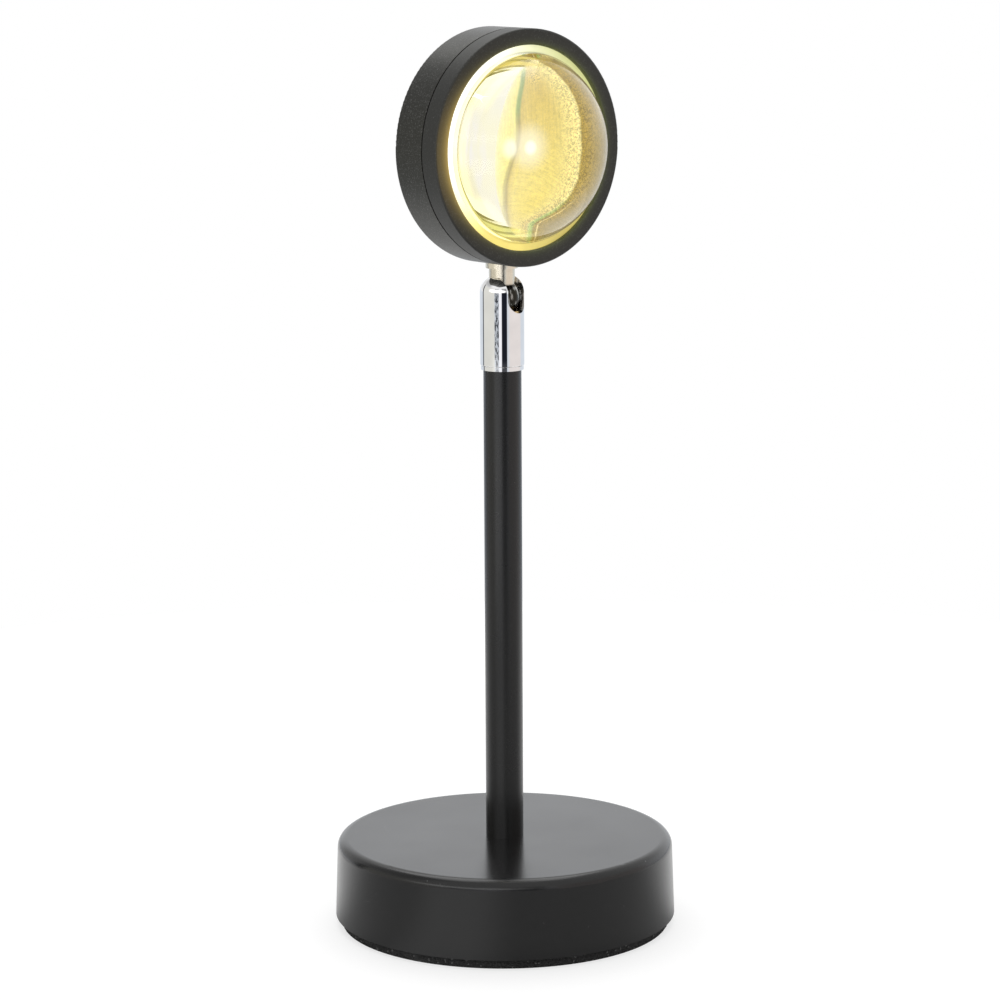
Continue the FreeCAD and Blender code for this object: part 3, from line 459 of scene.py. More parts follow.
# %% A family of metals
def metal(name, colour, dark_colour, low, high, pitch_mm, bump, painted_shade_below=None):
    """A metal with turning lines, a slow change of gloss, darker handled areas and, if a height is
    given, painted shade below it.
    """
    material, tree, shader = new_finish(name, Metallic=1.0)
    lines = place_group(tree, turning, {"Pitch in mm": pitch_mm})
    wear = place_group(tree, edge_wear, {"Width in mm": 0.2, "Break up": 0.45})
    tint = mixed(tree, uneven(tree, 5.0, 0.0, 1.0), colour, dark_colour)
    tint = mixed(tree, wear["Mask"], tint, grey(0.85))
    # Below the given height the colour is painted almost black with lighter mottling: painted shade
    # on the ball inside the barrel.
    if painted_shade_below is not None:
        where = own_place(tree)
        level = add(tree, "SeparateXYZ", {0: where}).outputs[2]
        shade_share = soft_step(tree, level, painted_shade_below + 0.5 * MM, painted_shade_below - 0.3 * MM)
        shade_mottle = noise_at(tree, stretched(tree, where, (1100.0, 1100.0, 300.0)), 1.0)
        shade_mottle = soft_step(tree, shade_mottle, 0.5, 0.62)
        shade_tone = mixed(tree, shade_mottle, (0.03, 0.028, 0.022, 1), (0.3, 0.3, 0.28, 1))
        tint = mixed(tree, shade_share, tint, shade_tone)
    feed(shader, Base_Color=tint, Roughness=uneven(tree, 3.0, low, high))
    bumped(shader, lines[0], bump, 0.02)
    return material


chrome = metal("polished_chrome_finish", grey(0.92), grey(0.84), 0.006, 0.014, 0.12, 0.005)
barrel_low, barrel_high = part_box("joint_barrel")
# The nickel is painted dark from 2 mm below the barrel's top downwards: painted shade on the ball.
nickel = metal("satin_nickel_finish", (0.84, 0.78, 0.64, 1), (0.7, 0.64, 0.52, 1),
               0.2, 0.3, 0.08, 0.3, painted_shade_below=barrel_high[2] - 2.0 * MM)
brass = metal("turned_brass_finish", (0.8, 0.58, 0.26, 1), (0.62, 0.43, 0.18, 1),
              0.18, 0.3, 0.1, 0.4)
zinc = metal("zinc_steel_finish", (0.62, 0.64, 0.66, 1), (0.5, 0.5, 0.48, 1),
             0.28, 0.42, 0.14, 0.4)
spring = metal("spring_steel_finish", (0.32, 0.32, 0.34, 1), (0.2, 0.19, 0.2, 1),
               0.25, 0.38, 0.1, 0.3)
print("metals:", [m.name for m in (chrome, nickel, brass, zinc, spring)])

# %% [markdown]
# ## Plain fillers: iron, rubber, silicone, plastics
#
# These pieces hide inside the lamp or under it. They still get a grain, an uneven gloss and
# a second tone, because the lamp can be opened, and because a turned view from
# below shows the foot's underside.


# %% A family of dull materials
def dull(name, colour, second_colour, grain_mm, low, high, bump):
    """A dull material: two tones mixed by its grain, uneven gloss and a bump."""
    material, tree, shader = new_finish(name)
    skin = place_group(tree, grain, {"Size in mm": grain_mm})
    share = larger(tree, skin["Speck"], uneven(tree, 8.0, 0.0, 0.6))
    tint = mixed(tree, share, colour, second_colour)
    feed(shader, Base_Color=tint, Roughness=uneven(tree, 6.0, low, high))
    bumped(shader, skin["Height"], bump, 0.1)
    return material


iron = dull("raw_iron_finish", (0.12, 0.11, 0.1, 1), (0.2, 0.13, 0.08, 1), 0.9, 0.5, 0.75, 0.8)
rubber = dull("black_rubber_finish", grey(0.012), grey(0.03), 0.3, 0.55, 0.75, 0.4)
silicone = dull("silicone_pad_finish", (0.3, 0.36, 0.42, 1), (0.4, 0.46, 0.5, 1),
                0.5, 0.6, 0.8, 0.3)
board = dull("board_white_finish", grey(0.78), grey(0.7), 0.4, 0.3, 0.45, 0.1)
chip = dull("chip_yellow_finish", (0.85, 0.6, 0.08, 1), (0.9, 0.7, 0.16, 1), 0.2, 0.2, 0.4, 0.2)
resistor = dull("resistor_black_finish", grey(0.02), grey(0.05), 0.2, 0.4, 0.6, 0.3)
insulation = dull("lead_insulation_finish", (0.5, 0.02, 0.02, 1), (0.6, 0.05, 0.04, 1),
                  0.4, 0.35, 0.5, 0.2)
reflector = dull("reflector_white_finish", grey(0.82), grey(0.74), 0.5, 0.25, 0.4, 0.15)
print("dull finishes: 8")

# %% [markdown]
# ## The colour film
#
# The film is the heart of the lamp. On its face three areas meet: a pale yellow one on the
# left, a golden one in the middle, and a brownish one on the right. Their borders are
# curved lines with a thin green fringe. The glass dome bends what we see of them, so the
# borders are described on the film, in the head's dial, and the glass does the bending.
# The left border swings like a slow wave. The right one bulges, and
# a power of four makes that bulge full in the middle and quick at its ends.

# %% Masks for the three areas of the film
film, tree, shader = new_finish("sunset_film_finish", Roughness=0.35)
clock = place_group(tree, dial)
across = clock["Across"]
up = clock["Up"]
film_place = point(tree, across, up)
wander = scaled(tree, noise_at(tree, film_place, 0.28, 3.0), 2.4, -1.2)

left_border = scaled(tree, soft_step(tree, up, 7.0, 18.0), 1.9, -1.7)
left_border = scaled(tree, soft_step(tree, up, 3.5, -9.0), -3.6, left_border)
left_border = scaled(tree, soft_step(tree, up, -12.0, -21.0), 1.5, left_border)
left_border = scaled(tree, wander, 0.15, left_border)
past_left = sum_of(tree, "SUBTRACT", across, left_border)

bulge = sum_of(tree, "ABSOLUTE", scaled(tree, up, 0.1, -0.35))
bulge = sum_of(tree, "POWER", bulge, 4.0)
right_border = scaled(tree, bulge, -0.84, 12.7)
right_border = scaled(tree, soft_step(tree, up, 4.0, 19.0), -3.2, right_border)
right_border = sum_of(tree, "SMOOTH_MAX", right_border, 1.6, 3.0)
right_border = scaled(tree, wander, 0.4, right_border)
past_right = sum_of(tree, "SUBTRACT", across, right_border)

# %% Colours of the three areas
middle_low = soft_step(tree, up, 14.0, -12.0)
gold = mixed(tree, middle_low, (0.72, 0.55, 0.14, 1), (0.93, 0.77, 0.21, 1))
near_right = soft_step(tree, past_right, -6.5, -1.0)
gold = mixed(tree, near_right, gold, (0.89, 0.76, 0.29, 1))
pale = mixed(tree, soft_step(tree, past_left, -7.0, -0.6),
             (0.9, 0.83, 0.42, 1), (0.93, 0.84, 0.27, 1))
brown = mixed(tree, soft_step(tree, past_right, 0.5, 6.5),
              (0.42, 0.29, 0.045, 1), (0.42, 0.34, 0.17, 1))
in_middle = soft_step(tree, past_left, -0.12, 0.25)
on_right = soft_step(tree, past_right, -0.2, 0.3)
beside_share = scaled(tree, soft_step(tree, up, 3.0, -6.0), 0.35, 0.35)
beside_left = times(tree, soft_step(tree, past_left, 2.4, 0.0), beside_share)
gold = mixed(tree, beside_left, gold, (0.5, 0.38, 0.1, 1))
colour = mixed(tree, in_middle, pale, gold)
colour = mixed(tree, on_right, colour, brown)

# %% [markdown]
# The borders have a green fringe, the lower right one also a rusty band. The middle has a
# fine woven texture, and its right part sparkles. The fringe is a narrow band on each side
# of a border. The weave is two noises that are squeezed in different directions. The
# sparkle is a cell texture, and each cell is a little brighter or darker by chance.

# %% Fringes along the borders
left_gap = sum_of(tree, "ABSOLUTE", past_left)
right_gap = sum_of(tree, "ABSOLUTE", past_right)
right_low = soft_step(tree, up, -8.0, -15.0)

left_fringe = soft_step(tree, left_gap, 0.95, 0.25)
fringe_top = soft_step(tree, up, 4.0, 9.0)
fringe_low = soft_step(tree, up, -14.0, -18.0)
fringe_share = sum_of(tree, "ADD", fringe_top, fringe_low, clamp=True)
left_fringe = times(tree, left_fringe, scaled(tree, fringe_share, 0.35, 0.6))
fringe_tone = mixed(tree, fringe_top, (0.26, 0.2, 0.05, 1), (0.22, 0.36, 0.1, 1))
colour = mixed(tree, left_fringe, colour, fringe_tone)

rust = times(tree, soft_step(tree, past_right, -3.6, -1.2), right_low)
rust = times(tree, rust, soft_step(tree, past_right, 0.4, -0.2))
colour = mixed(tree, times(tree, rust, 0.5), colour, (0.6, 0.44, 0.17, 1))
right_fringe = times(tree, soft_step(tree, right_gap, 1.1, 0.2), right_low)
colour = mixed(tree, right_fringe, colour, (0.45, 0.56, 0.16, 1))
bright_line_place = -0.5
bright_line = soft_step(tree, gap_from(tree, past_right, bright_line_place), 0.45, 0.05)
colour = mixed(tree, times(tree, bright_line, 0.3), colour, (0.97, 0.9, 0.45, 1))
second_line_place = 1.7
second_line = soft_step(tree, gap_from(tree, past_right, second_line_place), 0.3, 0.05)
colour = mixed(tree, times(tree, second_line, right_low), colour, (0.85, 0.7, 0.3, 1))

# %% Weave and sparkle
warp = noise_at(tree, stretched(tree, film_place, (2.6, 0.22, 1.0)), 1.0, 3.0)
bend = scaled(tree, times(tree, across, across), 0.03, up)
bend = scaled(tree, across, 0.15, bend)
weft_place = point(tree, times(tree, across, 0.22), times(tree, bend, 2.4))
weft = noise_at(tree, weft_place, 1.0, 3.0)
weave = mixed(tree, soft_step(tree, up, 4.0, -4.0), warp, weft)
weave = ramp(tree, weave, 0.36, 0.64, 0.92, 1.05)
cloud = scaled(tree, noise_at(tree, film_place, 0.9, 6.0), 0.34, -0.17)
weave = sum_of(tree, "ADD", weave, cloud)
flecks = add(tree, "TexVoronoi", {"Vector": film_place, "Scale": 4.4})
fleck_pick = add(tree, "SeparateColor", {0: flecks.outputs["Color"]}).outputs[0]
fleck_share = scaled(tree, soft_step(tree, right_gap, 5.0, 1.0), 0.8, 0.2)
sparkle_place = (2.9, 14.7, 0.0)
sparkle = soft_step(tree, distance(tree, film_place, sparkle_place), 2.2, 0.8)
fleck_share = larger(tree, fleck_share, times(tree, sparkle, 1.3))
fleck_level = times(tree, ramp(tree, fleck_pick, 0.0, 1.0, -0.36, 0.4), fleck_share)
colour = dimmed(tree, colour, sum_of(tree, "ADD", weave, fleck_level))


# %% Two hot spots where the diode shines through
def hot_spot(at_across, at_up, size):
    """A round glow on the film, as a share from nought to one."""
    return soft_step(tree, distance(tree, film_place, (at_across, at_up, 0.0)), size, size * 0.25)


wide_spot = times(tree, hot_spot(0.8, 0.2, 6.0), 0.5)
spots = larger(tree, hot_spot(1.3, 0.0, 2.7), hot_spot(-3.9, 0.1, 3.0))
spots = larger(tree, spots, wide_spot)
colour = mixed(tree, spots, colour, (1.1, 1.09, 0.92, 1))
# The film's colour is also its light: the diode shining through it from behind is painted on as a
# glow, with the hot spots brightest.
feed(shader, Base_Color=dimmed(tree, colour, 0.25), Emission_Color=colour)
shader.inputs["Emission Strength"].default_value = 0.85
print("film:", film.name)

# %% [markdown]
# ## The glowing ring
#
# Between the black lip and the glass dome lies a frosted ring, lit from behind. It is so
# bright on the left that it looks white there, and its yellow shows at the
# bottom and on the right. The colour is written as light. Its brightness falls off
# from left to right, and the ring is dark where the dome's edge hides it.

# %% Frosted ring
ring_glow, tree, shader = new_finish("frosted_ring_finish", Roughness=0.55)
clock = place_group(tree, dial)
to_left = soft_step(tree, clock["Across"], 20.0, -22.0)
to_bottom = soft_step(tree, clock["Up"], -2.0, -26.0)
glow = mixed(tree, to_left, (0.8, 0.82, 0.36, 1), (1.0, 0.98, 0.88, 1))
glow = mixed(tree, to_bottom, glow, (0.84, 0.69, 0.19, 1))
milk = place_group(tree, grain, {"Size in mm": 0.9})
level = scaled(tree, to_left, 0.55, 0.62)
level = scaled(tree, to_bottom, -0.12, level)
level = times(tree, level, uneven(tree, 9.0, 0.85, 1.1))
past_rim = soft_step(tree, clock["Radius"], 26.6, 27.3)
shaded = scaled(tree, larger(tree, past_rim, to_left), 0.85, 0.15)
level = times(tree, level, shaded)
feed(shader, Emission_Color=dimmed(tree, glow, level), Base_Color=dimmed(tree, glow, 0.35))
bumped(shader, milk["Height"], 0.3, 0.05)
shader.inputs["Emission Strength"].default_value = 1.1
print("glowing ring:", ring_glow.name)

# %% [markdown]
# ## The glass dome
#
# The dome is a plano-convex lens: a ball's cap in front, a flat back, and a thin flange that
# the front ring clamps. Glass shows each facet of its mesh, so the dome is turned here again
# in fine steps: a profile of radius and depth, swept round the head's axis. Its surface is
# clear with a few dust specks and the faintest ripple. Its mirror gloss is kept weak, or the
# papers of the studio would show in it. The glow seen in the lit dome is painted light: a
# faint yellow painted into the glass's colour on its left, in soft streaks that run up and
# down and round its rim, a faint light in the rim, and a small star of light where the diode
# shines.

# %% Helpers that build a piece from rings of points
CREASE = math.radians(25)


def circle(radius, steps):
    """Points (across, up) round a circle, in the radius's own unit."""
    angles = [math.tau * step / steps for step in range(steps)]
    return [(math.cos(angle) * radius, math.sin(angle) * radius) for angle in angles]


def bridge(shape, lower, upper):
    """Four-cornered faces between two rings of as many points."""
    for step in range(len(lower)):
        after = (step + 1) % len(lower)
        shape.faces.new((lower[step], lower[after], upper[after], upper[step]))


def smooth_but_creased(shape):
    """Shades a shape smooth and keeps its sharp edges."""
    for edge in shape.edges:
        edge.smooth = edge.calc_face_angle(0) < CREASE
    for face in shape.faces:
        face.smooth = True


def new_piece(name, shape):
    """Makes a finished shape a piece of the scene."""
    mesh = bpy.data.meshes.new(name)
    shape.to_mesh(mesh)
    shape.free()
    piece = bpy.data.objects.new(name, mesh)
    scene.collection.objects.link(piece)
    return piece


# %% Turn the dome
dome_steps = 256
cap_steps = 60
dome_rim = 26.5
dome_rim_depth = -0.9
flange_radius = (dome_high[0] - dome_low[0]) / 2 / MM
flange_front = 2.25
flat_back = (dome_high[1] - face_depth) / MM
apex_depth = (dome_low[1] - face_depth) / MM
dome_height = dome_rim_depth - apex_depth
ball_radius = (dome_rim ** 2 + dome_height ** 2) / (2 * dome_height)
ball_depth = apex_depth + ball_radius

dome_profile = []
cap_angle = math.atan2(dome_rim, ball_depth - dome_rim_depth)
for step in range(1, cap_steps + 1):
    angle = cap_angle * step / cap_steps
    dome_profile.append((ball_radius * math.sin(angle), ball_depth - ball_radius * math.cos(angle)))
dome_profile += [
    (dome_rim + 0.12, dome_rim_depth + 0.12),
    (dome_rim + 0.15, flange_front - 0.15),
    (dome_rim + 0.3, flange_front),
    (flange_radius - 0.1, flange_front),
    (flange_radius, flange_front + 0.1),
    (flange_radius, flat_back - 0.1),
    (flange_radius - 0.1, flat_back),
]
shape = bmesh.new()
apex = shape.verts.new((0, face_depth + apex_depth * MM, head_height))
rings = []
for radius, depth_mm in dome_profile:
    y = face_depth + depth_mm * MM
    rings.append([shape.verts.new((x * MM, y, head_height + up_mm * MM))
                  for x, up_mm in circle(radius, dome_steps)])
back_middle = shape.verts.new((0, face_depth + flat_back * MM, head_height))
for step in range(dome_steps):
    after = (step + 1) % dome_steps
    shape.faces.new((apex, rings[0][step], rings[0][after]))
    for inner, outer in zip(rings, rings[1:]):
        shape.faces.new((inner[step], outer[step], outer[after], inner[after]))
    shape.faces.new((rings[-1][step], back_middle, rings[-1][after]))
bmesh.ops.recalc_face_normals(shape, faces=shape.faces)
smooth_but_creased(shape)
dome = new_piece("glass_dome", shape)
print("ball radius of the dome:", round(ball_radius, 2), "mm,", len(dome.data.vertices), "points")

# %% Clear glass
glass, tree, shader = new_finish("clear_glass_finish", IOR=1.5, Transmission_Weight=1.0,
                                 Specular_Tint=grey(0.22))
specks = place_group(tree, dust, {"Speck size in mm": 1.3, "Amount": 0.05})
clock = place_group(tree, dial)
across = clock["Across"]
up = clock["Up"]
# The yellow put into the glass's colour below is painted light: the glow seen in the dome, in
# streaks on its left, beside the bend, and towards its top and bottom on the left.
streaks = noise_at(tree, point(tree, across, times(tree, up, 0.12)), 0.9, 4.0)
streaks = soft_step(tree, streaks, 0.35, 0.65)
glow_streak_colour = mixed(tree, streaks, (0.95, 0.905, 0.62, 1), (0.935, 0.895, 0.86, 1))
to_left = soft_step(tree, across, -12.0, -19.0)
tint = mixed(tree, to_left, (0.985, 0.975, 0.93, 1), glow_streak_colour)
bend_place = -19.8
beside_bend = soft_step(tree, gap_from(tree, across, bend_place), 4.6, 0.6)
tint = mixed(tree, beside_bend, tint, (0.98, 0.92, 0.55, 1))
off_middle = sum_of(tree, "ABSOLUTE", up)
near_ends = soft_step(tree, off_middle, 6.0, 15.0)
near_ends = times(tree, near_ends, soft_step(tree, across, -4.0, -10.0))
tint = mixed(tree, times(tree, near_ends, 0.85), tint, (0.93, 0.89, 0.68, 1))
# Yellow streaks round the rim on the left: painted light in the glass's colour, and further down
# also in the rim's light.
rim_place = point(tree, clock["Radius"], times(tree, up, 0.05))
rim_streaks = soft_step(tree, noise_at(tree, rim_place, 0.8, 3.0), 0.42, 0.6)
near_rim = soft_step(tree, clock["Radius"], 22.6, 24.6)
near_rim = times(tree, near_rim, soft_step(tree, across, 0.0, -8.0))
rim_streaks = times(tree, rim_streaks, near_rim)
tint = mixed(tree, rim_streaks, tint, (0.94, 0.87, 0.46, 1))
tint = mixed(tree, specks["Mask"], tint, grey(0.7))
feed(shader, Base_Color=tint, Roughness=uneven(tree, 14.0, 0.0, 0.02))
bumped(shader, noise_at(tree, own_place(tree), 220.0, 1.0), 0.03, 0.05)

# %% The small star and the light in the rim
star_place = (-20.4, 15.7, 0.0)
from_star = add(tree, "VectorMath", {0: point(tree, across, up), 1: star_place},
                operation="SUBTRACT").outputs[0]
gaps = add(tree, "SeparateXYZ", {0: from_star}).outputs
reach = add(tree, "VectorMath", {0: from_star}, operation="LENGTH").outputs["Value"]
core = soft_step(tree, reach, 0.8, 0.15)
arm = soft_step(tree, sum_of(tree, "ABSOLUTE", times(tree, gaps[0], gaps[1])), 0.22, 0.0)
arm = times(tree, arm, soft_step(tree, reach, 2.2, 0.4))
star = sum_of(tree, "MULTIPLY_ADD", arm, 0.35, core, clamp=True)
rim_light = mixed(tree, rim_streaks, (0.2, 0.18, 0.05, 1), (0.32, 0.28, 0.08, 1))
at_limb = soft_step(tree, clock["Radius"], 25.0, 26.2)
lit_part = larger(tree, soft_step(tree, off_middle, 10.0, 16.0), at_limb)
rim_light = mixed(tree, times(tree, near_rim, lit_part), grey(0.0), rim_light)
feed(shader, Emission_Color=mixed(tree, star, rim_light, (1.0, 0.97, 0.8, 1)))
shader.inputs["Emission Strength"].default_value = 1.0
dome.data.materials.append(glass)
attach(dome, "head")
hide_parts("lens")
print("glass:", glass.name)

# %% [markdown]
# ## The chromed barrel
#
# The solid model rounds the barrel's top edge with a plain radius. On the real one the top
# is drawn in like a dome round the ball, and chrome shows that at once: the
# black underside of the head is mirrored in it. So the barrel is turned here with a domed
# profile, and the slot for the neck is then cut out of its side by a second body.
# The bore, the groove for the snap ring and the hollow round the ball stay as they were.

# %% Turn the barrel
barrel_steps = 192
shoulder_steps = 32
hollow_steps = 16
slot_side = math.radians(14.0)
neck_room = 3.85
ring_low, ring_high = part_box("joint_snap_ring")
bottom = barrel_low[2] / MM
top = barrel_high[2] / MM
groove_top = ring_high[2] / MM + 0.12
groove_bottom = ring_low[2] / MM - 0.12
barrel_radius = 6.33
bore = 5.2
groove_depth = 0.48
seat_to_pivot = 4.0
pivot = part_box("ball_seat")[1][2] / MM + seat_to_pivot

profile = [(bore, bottom), (barrel_radius - 0.12, bottom), (barrel_radius, bottom + 0.12)]
dome_centre = 1.6
dome_rise = 5.4
last_angle = math.acos((neck_room + 0.3 - dome_centre) / (barrel_radius - dome_centre))
dome_foot = top - dome_rise * math.sin(last_angle)
for step in range(shoulder_steps + 1):
    angle = last_angle * step / shoulder_steps
    radius = dome_centre + (barrel_radius - dome_centre) * math.cos(angle)
    profile.append((radius, dome_foot + dome_rise * math.sin(angle)))
profile += [(neck_room + 0.1, top), (neck_room, top - 0.1)]
first_angle = math.acos(neck_room / bore)
for step in range(hollow_steps + 1):
    angle = first_angle * (1 - step / hollow_steps)
    profile.append((bore * math.cos(angle), pivot + bore * math.sin(angle)))
profile += [(bore, groove_top), (bore + groove_depth, groove_top),
            (bore + groove_depth, groove_bottom), (bore, groove_bottom)]
shape = bmesh.new()
rings = []
for radius, height_mm in profile:
    rings.append([shape.verts.new((x * MM, y * MM, height_mm * MM))
                  for x, y in circle(radius, barrel_steps)])
for lower, upper in zip(rings, rings[1:] + rings[:1]):
    bridge(shape, lower, upper)
bmesh.ops.recalc_face_normals(shape, faces=shape.faces)
barrel = new_piece("domed_barrel", shape)
print("height of the barrel's dome:", round(top - dome_foot, 2), "mm")

# %% Cut the slot
slot_drop = 0.6
slot_steps = 48
past_wall = 8.0
outline = [(neck_room, top + 1.0), (-neck_room, top + 1.0)]
for step in range(slot_steps + 1):
    angle = math.pi + math.pi * step / slot_steps
    outline.append((neck_room * math.cos(angle), pivot - slot_drop + neck_room * math.sin(angle)))
outward = Vector((math.sin(slot_side), -math.cos(slot_side), 0))
sideways = Vector((math.cos(slot_side), math.sin(slot_side), 0))
shape = bmesh.new()
ends = []
for reach_mm in (0.0, past_wall):
    end = []
    for beside, height_mm in outline:
        spot = outward * reach_mm + sideways * beside + Vector((0, 0, height_mm))
        end.append(shape.verts.new(spot * MM))
    ends.append(end)
    shape.faces.new(end)
bridge(shape, ends[0], ends[1])
bmesh.ops.recalc_face_normals(shape, faces=shape.faces)
cutter = new_piece("slot_cutter", shape)
cut = barrel.modifiers.new("slot", "BOOLEAN")
cut.operation = "DIFFERENCE"
cut.solver = "EXACT"
cut.object = cutter
bpy.context.view_layer.update()
ready = barrel.evaluated_get(bpy.context.evaluated_depsgraph_get())
cut_mesh = bpy.data.meshes.new_from_object(ready)
barrel.modifiers.clear()
barrel.data = cut_mesh
bpy.data.objects.remove(cutter)
shape = bmesh.new()
shape.from_mesh(cut_mesh)
smooth_but_creased(shape)
shape.to_mesh(cut_mesh)
shape.free()
cut_mesh.materials.clear()
cut_mesh.materials.append(chrome)
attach(barrel, "barrel")
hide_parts("joint_barrel")
print("faces of the barrel:", len(cut_mesh.polygons))

# %% [markdown]
# ## The foam pad
#
# Under the foot is a disc of black cell foam that keeps it from sliding. Its cut edge is
# the only part that shows, as a dark granular band. The pad is turned as a profile
# with a slight belly, since the lamp's weight squeezes it, and each point of its edge is
# then pushed in or out by a noise that never changes.

# %% Turn the pad and roughen its edge
pad_thickness = pad_high[2] / MM
edge_levels = 10
pad_steps = 900
edge_width = 3.0
inner_radius = pad_radius - edge_width
belly_depth = 0.35
coarse_scale = 1.9
coarse_push = 0.28
fine_scale = 5.0
fine_push = 0.12
shape = bmesh.new()
rings = []
for level in range(edge_levels + 1):
    share = level / edge_levels
    belly = belly_depth * math.sin(math.pi * share) - belly_depth
    ring = []
    for step in range(pad_steps):
        angle = math.tau * step / pad_steps
        radius = pad_radius + belly
        spot = Vector((math.cos(angle) * radius, math.sin(angle) * radius, share * pad_thickness))
        push = noise.noise(spot * coarse_scale) * coarse_push
        push += noise.noise(spot * fine_scale) * fine_push
        if 0 < level < edge_levels:
            spot.x += math.cos(angle) * min(push, -belly)
            spot.y += math.sin(angle) * min(push, -belly)
        ring.append(shape.verts.new(spot * MM))
    rings.append(ring)
for lower, upper in zip(rings, rings[1:]):
    bridge(shape, lower, upper)
for ring, height_mm in ((rings[0], 0.0), (rings[-1], pad_thickness)):
    inside = [shape.verts.new((x * MM, y * MM, height_mm * MM))
              for x, y in circle(inner_radius, pad_steps)]
    middle = shape.verts.new((0, 0, height_mm * MM))
    for step in range(pad_steps):
        after = (step + 1) % pad_steps
        shape.faces.new((ring[step], inside[step], inside[after], ring[after]))
        shape.faces.new((inside[step], middle, inside[after]))
bmesh.ops.recalc_face_normals(shape, faces=shape.faces)
foam_disc = new_piece("foam_disc", shape)
print("points in the pad:", len(foam_disc.data.vertices))

# %% Cell foam
foam, tree, shader = new_finish("black_foam_finish")
cells = add(tree, "TexVoronoi", {"Vector": own_place(tree), "Scale": 1900.0}).outputs
wall = ramp(tree, cells["Distance"], 0.1, 0.6)
pick = add(tree, "SeparateColor", {0: cells["Color"]}).outputs[0]
pale_cell = sum_of(tree, "LESS_THAN", pick, 0.035)
tint = mixed(tree, wall, grey(0.004), grey(0.022))
tint = mixed(tree, pale_cell, tint, grey(0.12))
feed(shader, Base_Color=tint, Roughness=uneven(tree, 4.0, 0.75, 0.95))
bumped(shader, wall, 0.9, 0.3)
foam_disc.data.materials.append(foam)
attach(foam_disc, "stand")
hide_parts("foot_pad")
print("foam:", foam.name)

# %% [markdown]
# ## Dress the solid pieces
#
# The other pieces keep the shape that the solid model gives them. Each one only gets its
# finish in the slot that the solid model already has.

# %% Give every solid piece its finish
pieces_of = {
    foot_coat: ("base_shell",),
    pole_coat: ("pole_tube",),
    drum_coat: ("rear_casing",),
    ring_coat: ("front_bezel",),
    iron: ("counterweight",),
    rubber: ("cable_grommet",),
    zinc: ("base_nipple", "base_washer", "base_lock_washer", "base_nut",
           "neck_washer", "neck_nut", "board_screws"),
    brass: ("pole_bush_lower", "pole_bush_upper", "ball_seat"),
    chrome: ("joint_stem",),
    spring: ("joint_snap_ring", "seat_spring"),
    nickel: ("neck_half_left", "neck_half_right"),
    silicone: ("thermal_pad",),
    board: ("led_board",),
    chip: ("led_package",),
    resistor: ("board_resistors",),
    insulation: ("board_leads",),
    reflector: ("reflector_cup",),
    film: ("colour_film",),
    ring_glow: ("light_ring",),
}
for finish, node_names in pieces_of.items():
    for node_name in node_names:
        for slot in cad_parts[node_name].material_slots:
            slot.material = finish
print("solid pieces dressed:", sum(len(names) for names in pieces_of.values()))

# %% [markdown]
# ## The studio
#
# The lamp stands on a white table in a white room. The floor is a pale disc that keeps the
# lamp's soft shadow. It adds a little light of its own, so that the camera sees it as white,
# and so that gloss finds it brighter behind the lamp and at the left of the front.
#
# The room is a world that is white for the camera and through glass. In gloss it shows what
# stands round a lamp in a studio, because the look of black paint and chrome comes
# from there: paper walls of several greys, a dark gap in front with a bright sheet beside it,
# a shelf full of small things, a low white sheet and a white card above.
# Each is a stripe between two angles, counted from the studio's front.

# %% Helpers that measure an angle of the room and mark a stripe of it
look_side = Vector((math.sin(camera_side), -math.cos(camera_side), 0))
right_side = Vector((math.cos(camera_side), math.sin(camera_side), 0))


def turn_of(tree, place):
    """Angle in degrees round the lamp, counted from where the studio's front lies."""
    ahead = add(tree, "VectorMath", {0: place, 1: look_side}, operation="DOT_PRODUCT")
    aside = add(tree, "VectorMath", {0: place, 1: right_side}, operation="DOT_PRODUCT")
    angle = sum_of(tree, "ARCTAN2", aside.outputs["Value"], ahead.outputs["Value"])
    return times(tree, angle, math.degrees(1))


def stripe(tree, angle, start, end, blur):
    """One between two angles of the room, nought outside, with soft edges."""
    rising = soft_step(tree, angle, start - blur, start + blur)
    falling = soft_step(tree, angle, end + blur, end - blur)
    return times(tree, rising, falling)


print("the studio's front:", [round(part, 2) for part in look_side])

# %% Floor
floor_radius = 0.45
shape = bmesh.new()
bmesh.ops.create_circle(shape, cap_ends=True, radius=floor_radius, segments=128)
floor = new_piece("white_table", shape)

table_white, tree, shader = new_finish("table_white", Roughness=0.9)
shader.inputs["Emission Color"].default_value = grey(1.0)
ray = add(tree, "LightPath").outputs
seen = larger(tree, ray["Is Camera Ray"], ray["Is Transmission Ray"])
angle = turn_of(tree, own_place(tree))
tint = mixed(tree, stripe(tree, angle, -100.0, 100.0, 18.0), grey(0.95), grey(0.6))
tint = mixed(tree, seen, tint, grey(0.35))
tint = mixed(tree, ray["Is Transmission Ray"], tint, grey(0.0))
lift = mixed(tree, ray["Is Camera Ray"], grey(0.0), grey(0.68))
behind = sum_of(tree, "SUBTRACT", 1.0, stripe(tree, angle, -95.0, 95.0, 14.0))
lift = mixed(tree, times(tree, behind, ray["Is Glossy Ray"]), lift, grey(0.19))
sheet_image = times(tree, stripe(tree, angle, -46.0, -6.0, 12.0), ray["Is Glossy Ray"])
lift = mixed(tree, sheet_image, lift, grey(0.4))
lift = mixed(tree, ray["Is Transmission Ray"], lift, grey(1.0))
feed(shader, Base_Color=tint, Emission_Strength=lift)
floor.data.materials.append(table_white)
print("floor radius:", floor_radius, "m")

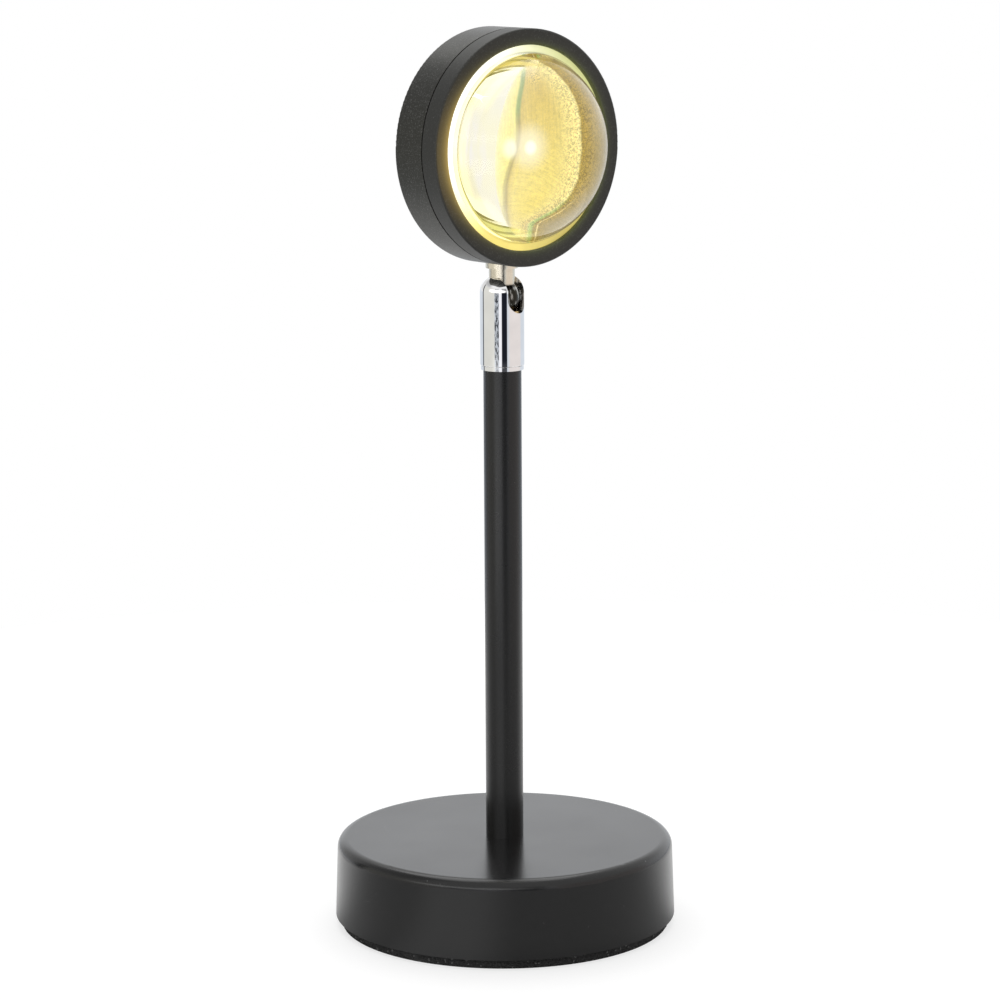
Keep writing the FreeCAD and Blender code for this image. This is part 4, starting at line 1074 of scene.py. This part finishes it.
# %% World: the papers of the room
world = bpy.data.worlds.new("white_room")
scene.world = world
world.use_nodes = True
tree = world.node_tree
backdrop = tree.nodes["Background"]
direction = add(tree, "TexCoord").outputs["Generated"]
turn = turn_of(tree, direction)
rise = add(tree, "SeparateXYZ", {0: direction}).outputs[2]
back_high = soft_step(tree, rise, -0.05, 0.08)
room = mixed(tree, back_high, (0.72, 0.77, 0.84, 1), (1.2, 1.22, 1.25, 1))
high_left = times(tree, stripe(tree, turn, -155.0, -100.0, 12.0), back_high)
room = mixed(tree, high_left, room, grey(0.78))
room = mixed(tree, stripe(tree, turn, -112.0, -40.0, 6.0), room, (0.78, 0.77, 0.72, 1))
room = mixed(tree, stripe(tree, turn, 36.0, 112.0, 8.0), room, (0.86, 0.8, 0.78, 1))

# %% World: the dark gap, the shelf and the far line
gap = stripe(tree, turn, -2.0, 26.0, 2.0)
shelf = stripe(tree, turn, -40.0, -17.0, 2.0)
shelf_place = point(tree, times(tree, turn, 0.12), times(tree, rise, 620.0))
shelf_level = soft_step(tree, noise_at(tree, shelf_place, 1.0, 1.0), 0.47, 0.53)
shelf = times(tree, shelf, scaled(tree, shelf_level, 0.85, 0.15))
dark = larger(tree, gap, shelf)
dark = larger(tree, dark, stripe(tree, turn, -120.0, -112.0, 2.0))
dark_tone = mixed(tree, soft_step(tree, rise, -0.14, -0.16),
                  (0.012, 0.014, 0.022, 1), (0.4, 0.4, 0.42, 1))
room = mixed(tree, stripe(tree, turn, -17.0, -2.0, 1.5), room, (1.0, 1.0, 1.05, 1))
room = mixed(tree, dark, room, dark_tone)

# %% World: the low sheet, the card and what is overhead
low_sheet = stripe(tree, turn, -50.0, -14.0, 12.0)
low_sheet = times(tree, low_sheet, soft_step(tree, rise, -0.13, -0.22))
room = mixed(tree, low_sheet, room, grey(3.3))
card = times(tree, stripe(tree, turn, -62.0, 14.0, 18.0), stripe(tree, rise, 0.14, 0.3, 0.08))
room = mixed(tree, card, room, grey(3.3))
high = soft_step(tree, rise, 0.3, 0.55)
room = mixed(tree, high, room, grey(0.95))
dim_high = times(tree, stripe(tree, turn, -135.0, -70.0, 16.0), high)
room = mixed(tree, dim_high, room, grey(0.5))
ray = add(tree, "LightPath").outputs
plain = larger(tree, ray["Is Camera Ray"], ray["Is Transmission Ray"])
shown = mixed(tree, ray["Is Glossy Ray"], grey(0.8), room)
feed(backdrop, Color=mixed(tree, plain, shown, grey(1.0)))
backdrop.inputs["Strength"].default_value = 1.0
print("world:", world.name)

# %% One broad lamp above
lamp_place = Vector((0.3, 0.5, 1.5))
lamp_aim = Vector((0, 0, 0.1))
lamp_data = bpy.data.lights.new("top_lamp", "AREA")
lamp_data.shape = "SQUARE"
lamp_data.size = 1.2
lamp_data.energy = 8.0
top_lamp = bpy.data.objects.new("top_lamp", lamp_data)
top_lamp.location = lamp_place
top_lamp.rotation_euler = (lamp_aim - lamp_place).to_track_quat("-Z", "Y").to_euler()
scene.collection.objects.link(top_lamp)
print("lamp:", top_lamp.name, lamp_data.energy, "W")

# %% [markdown]
# ## Colour
#
# The standard view shows each colour as it is written.

# %% View
scene.view_settings.view_transform = "Standard"
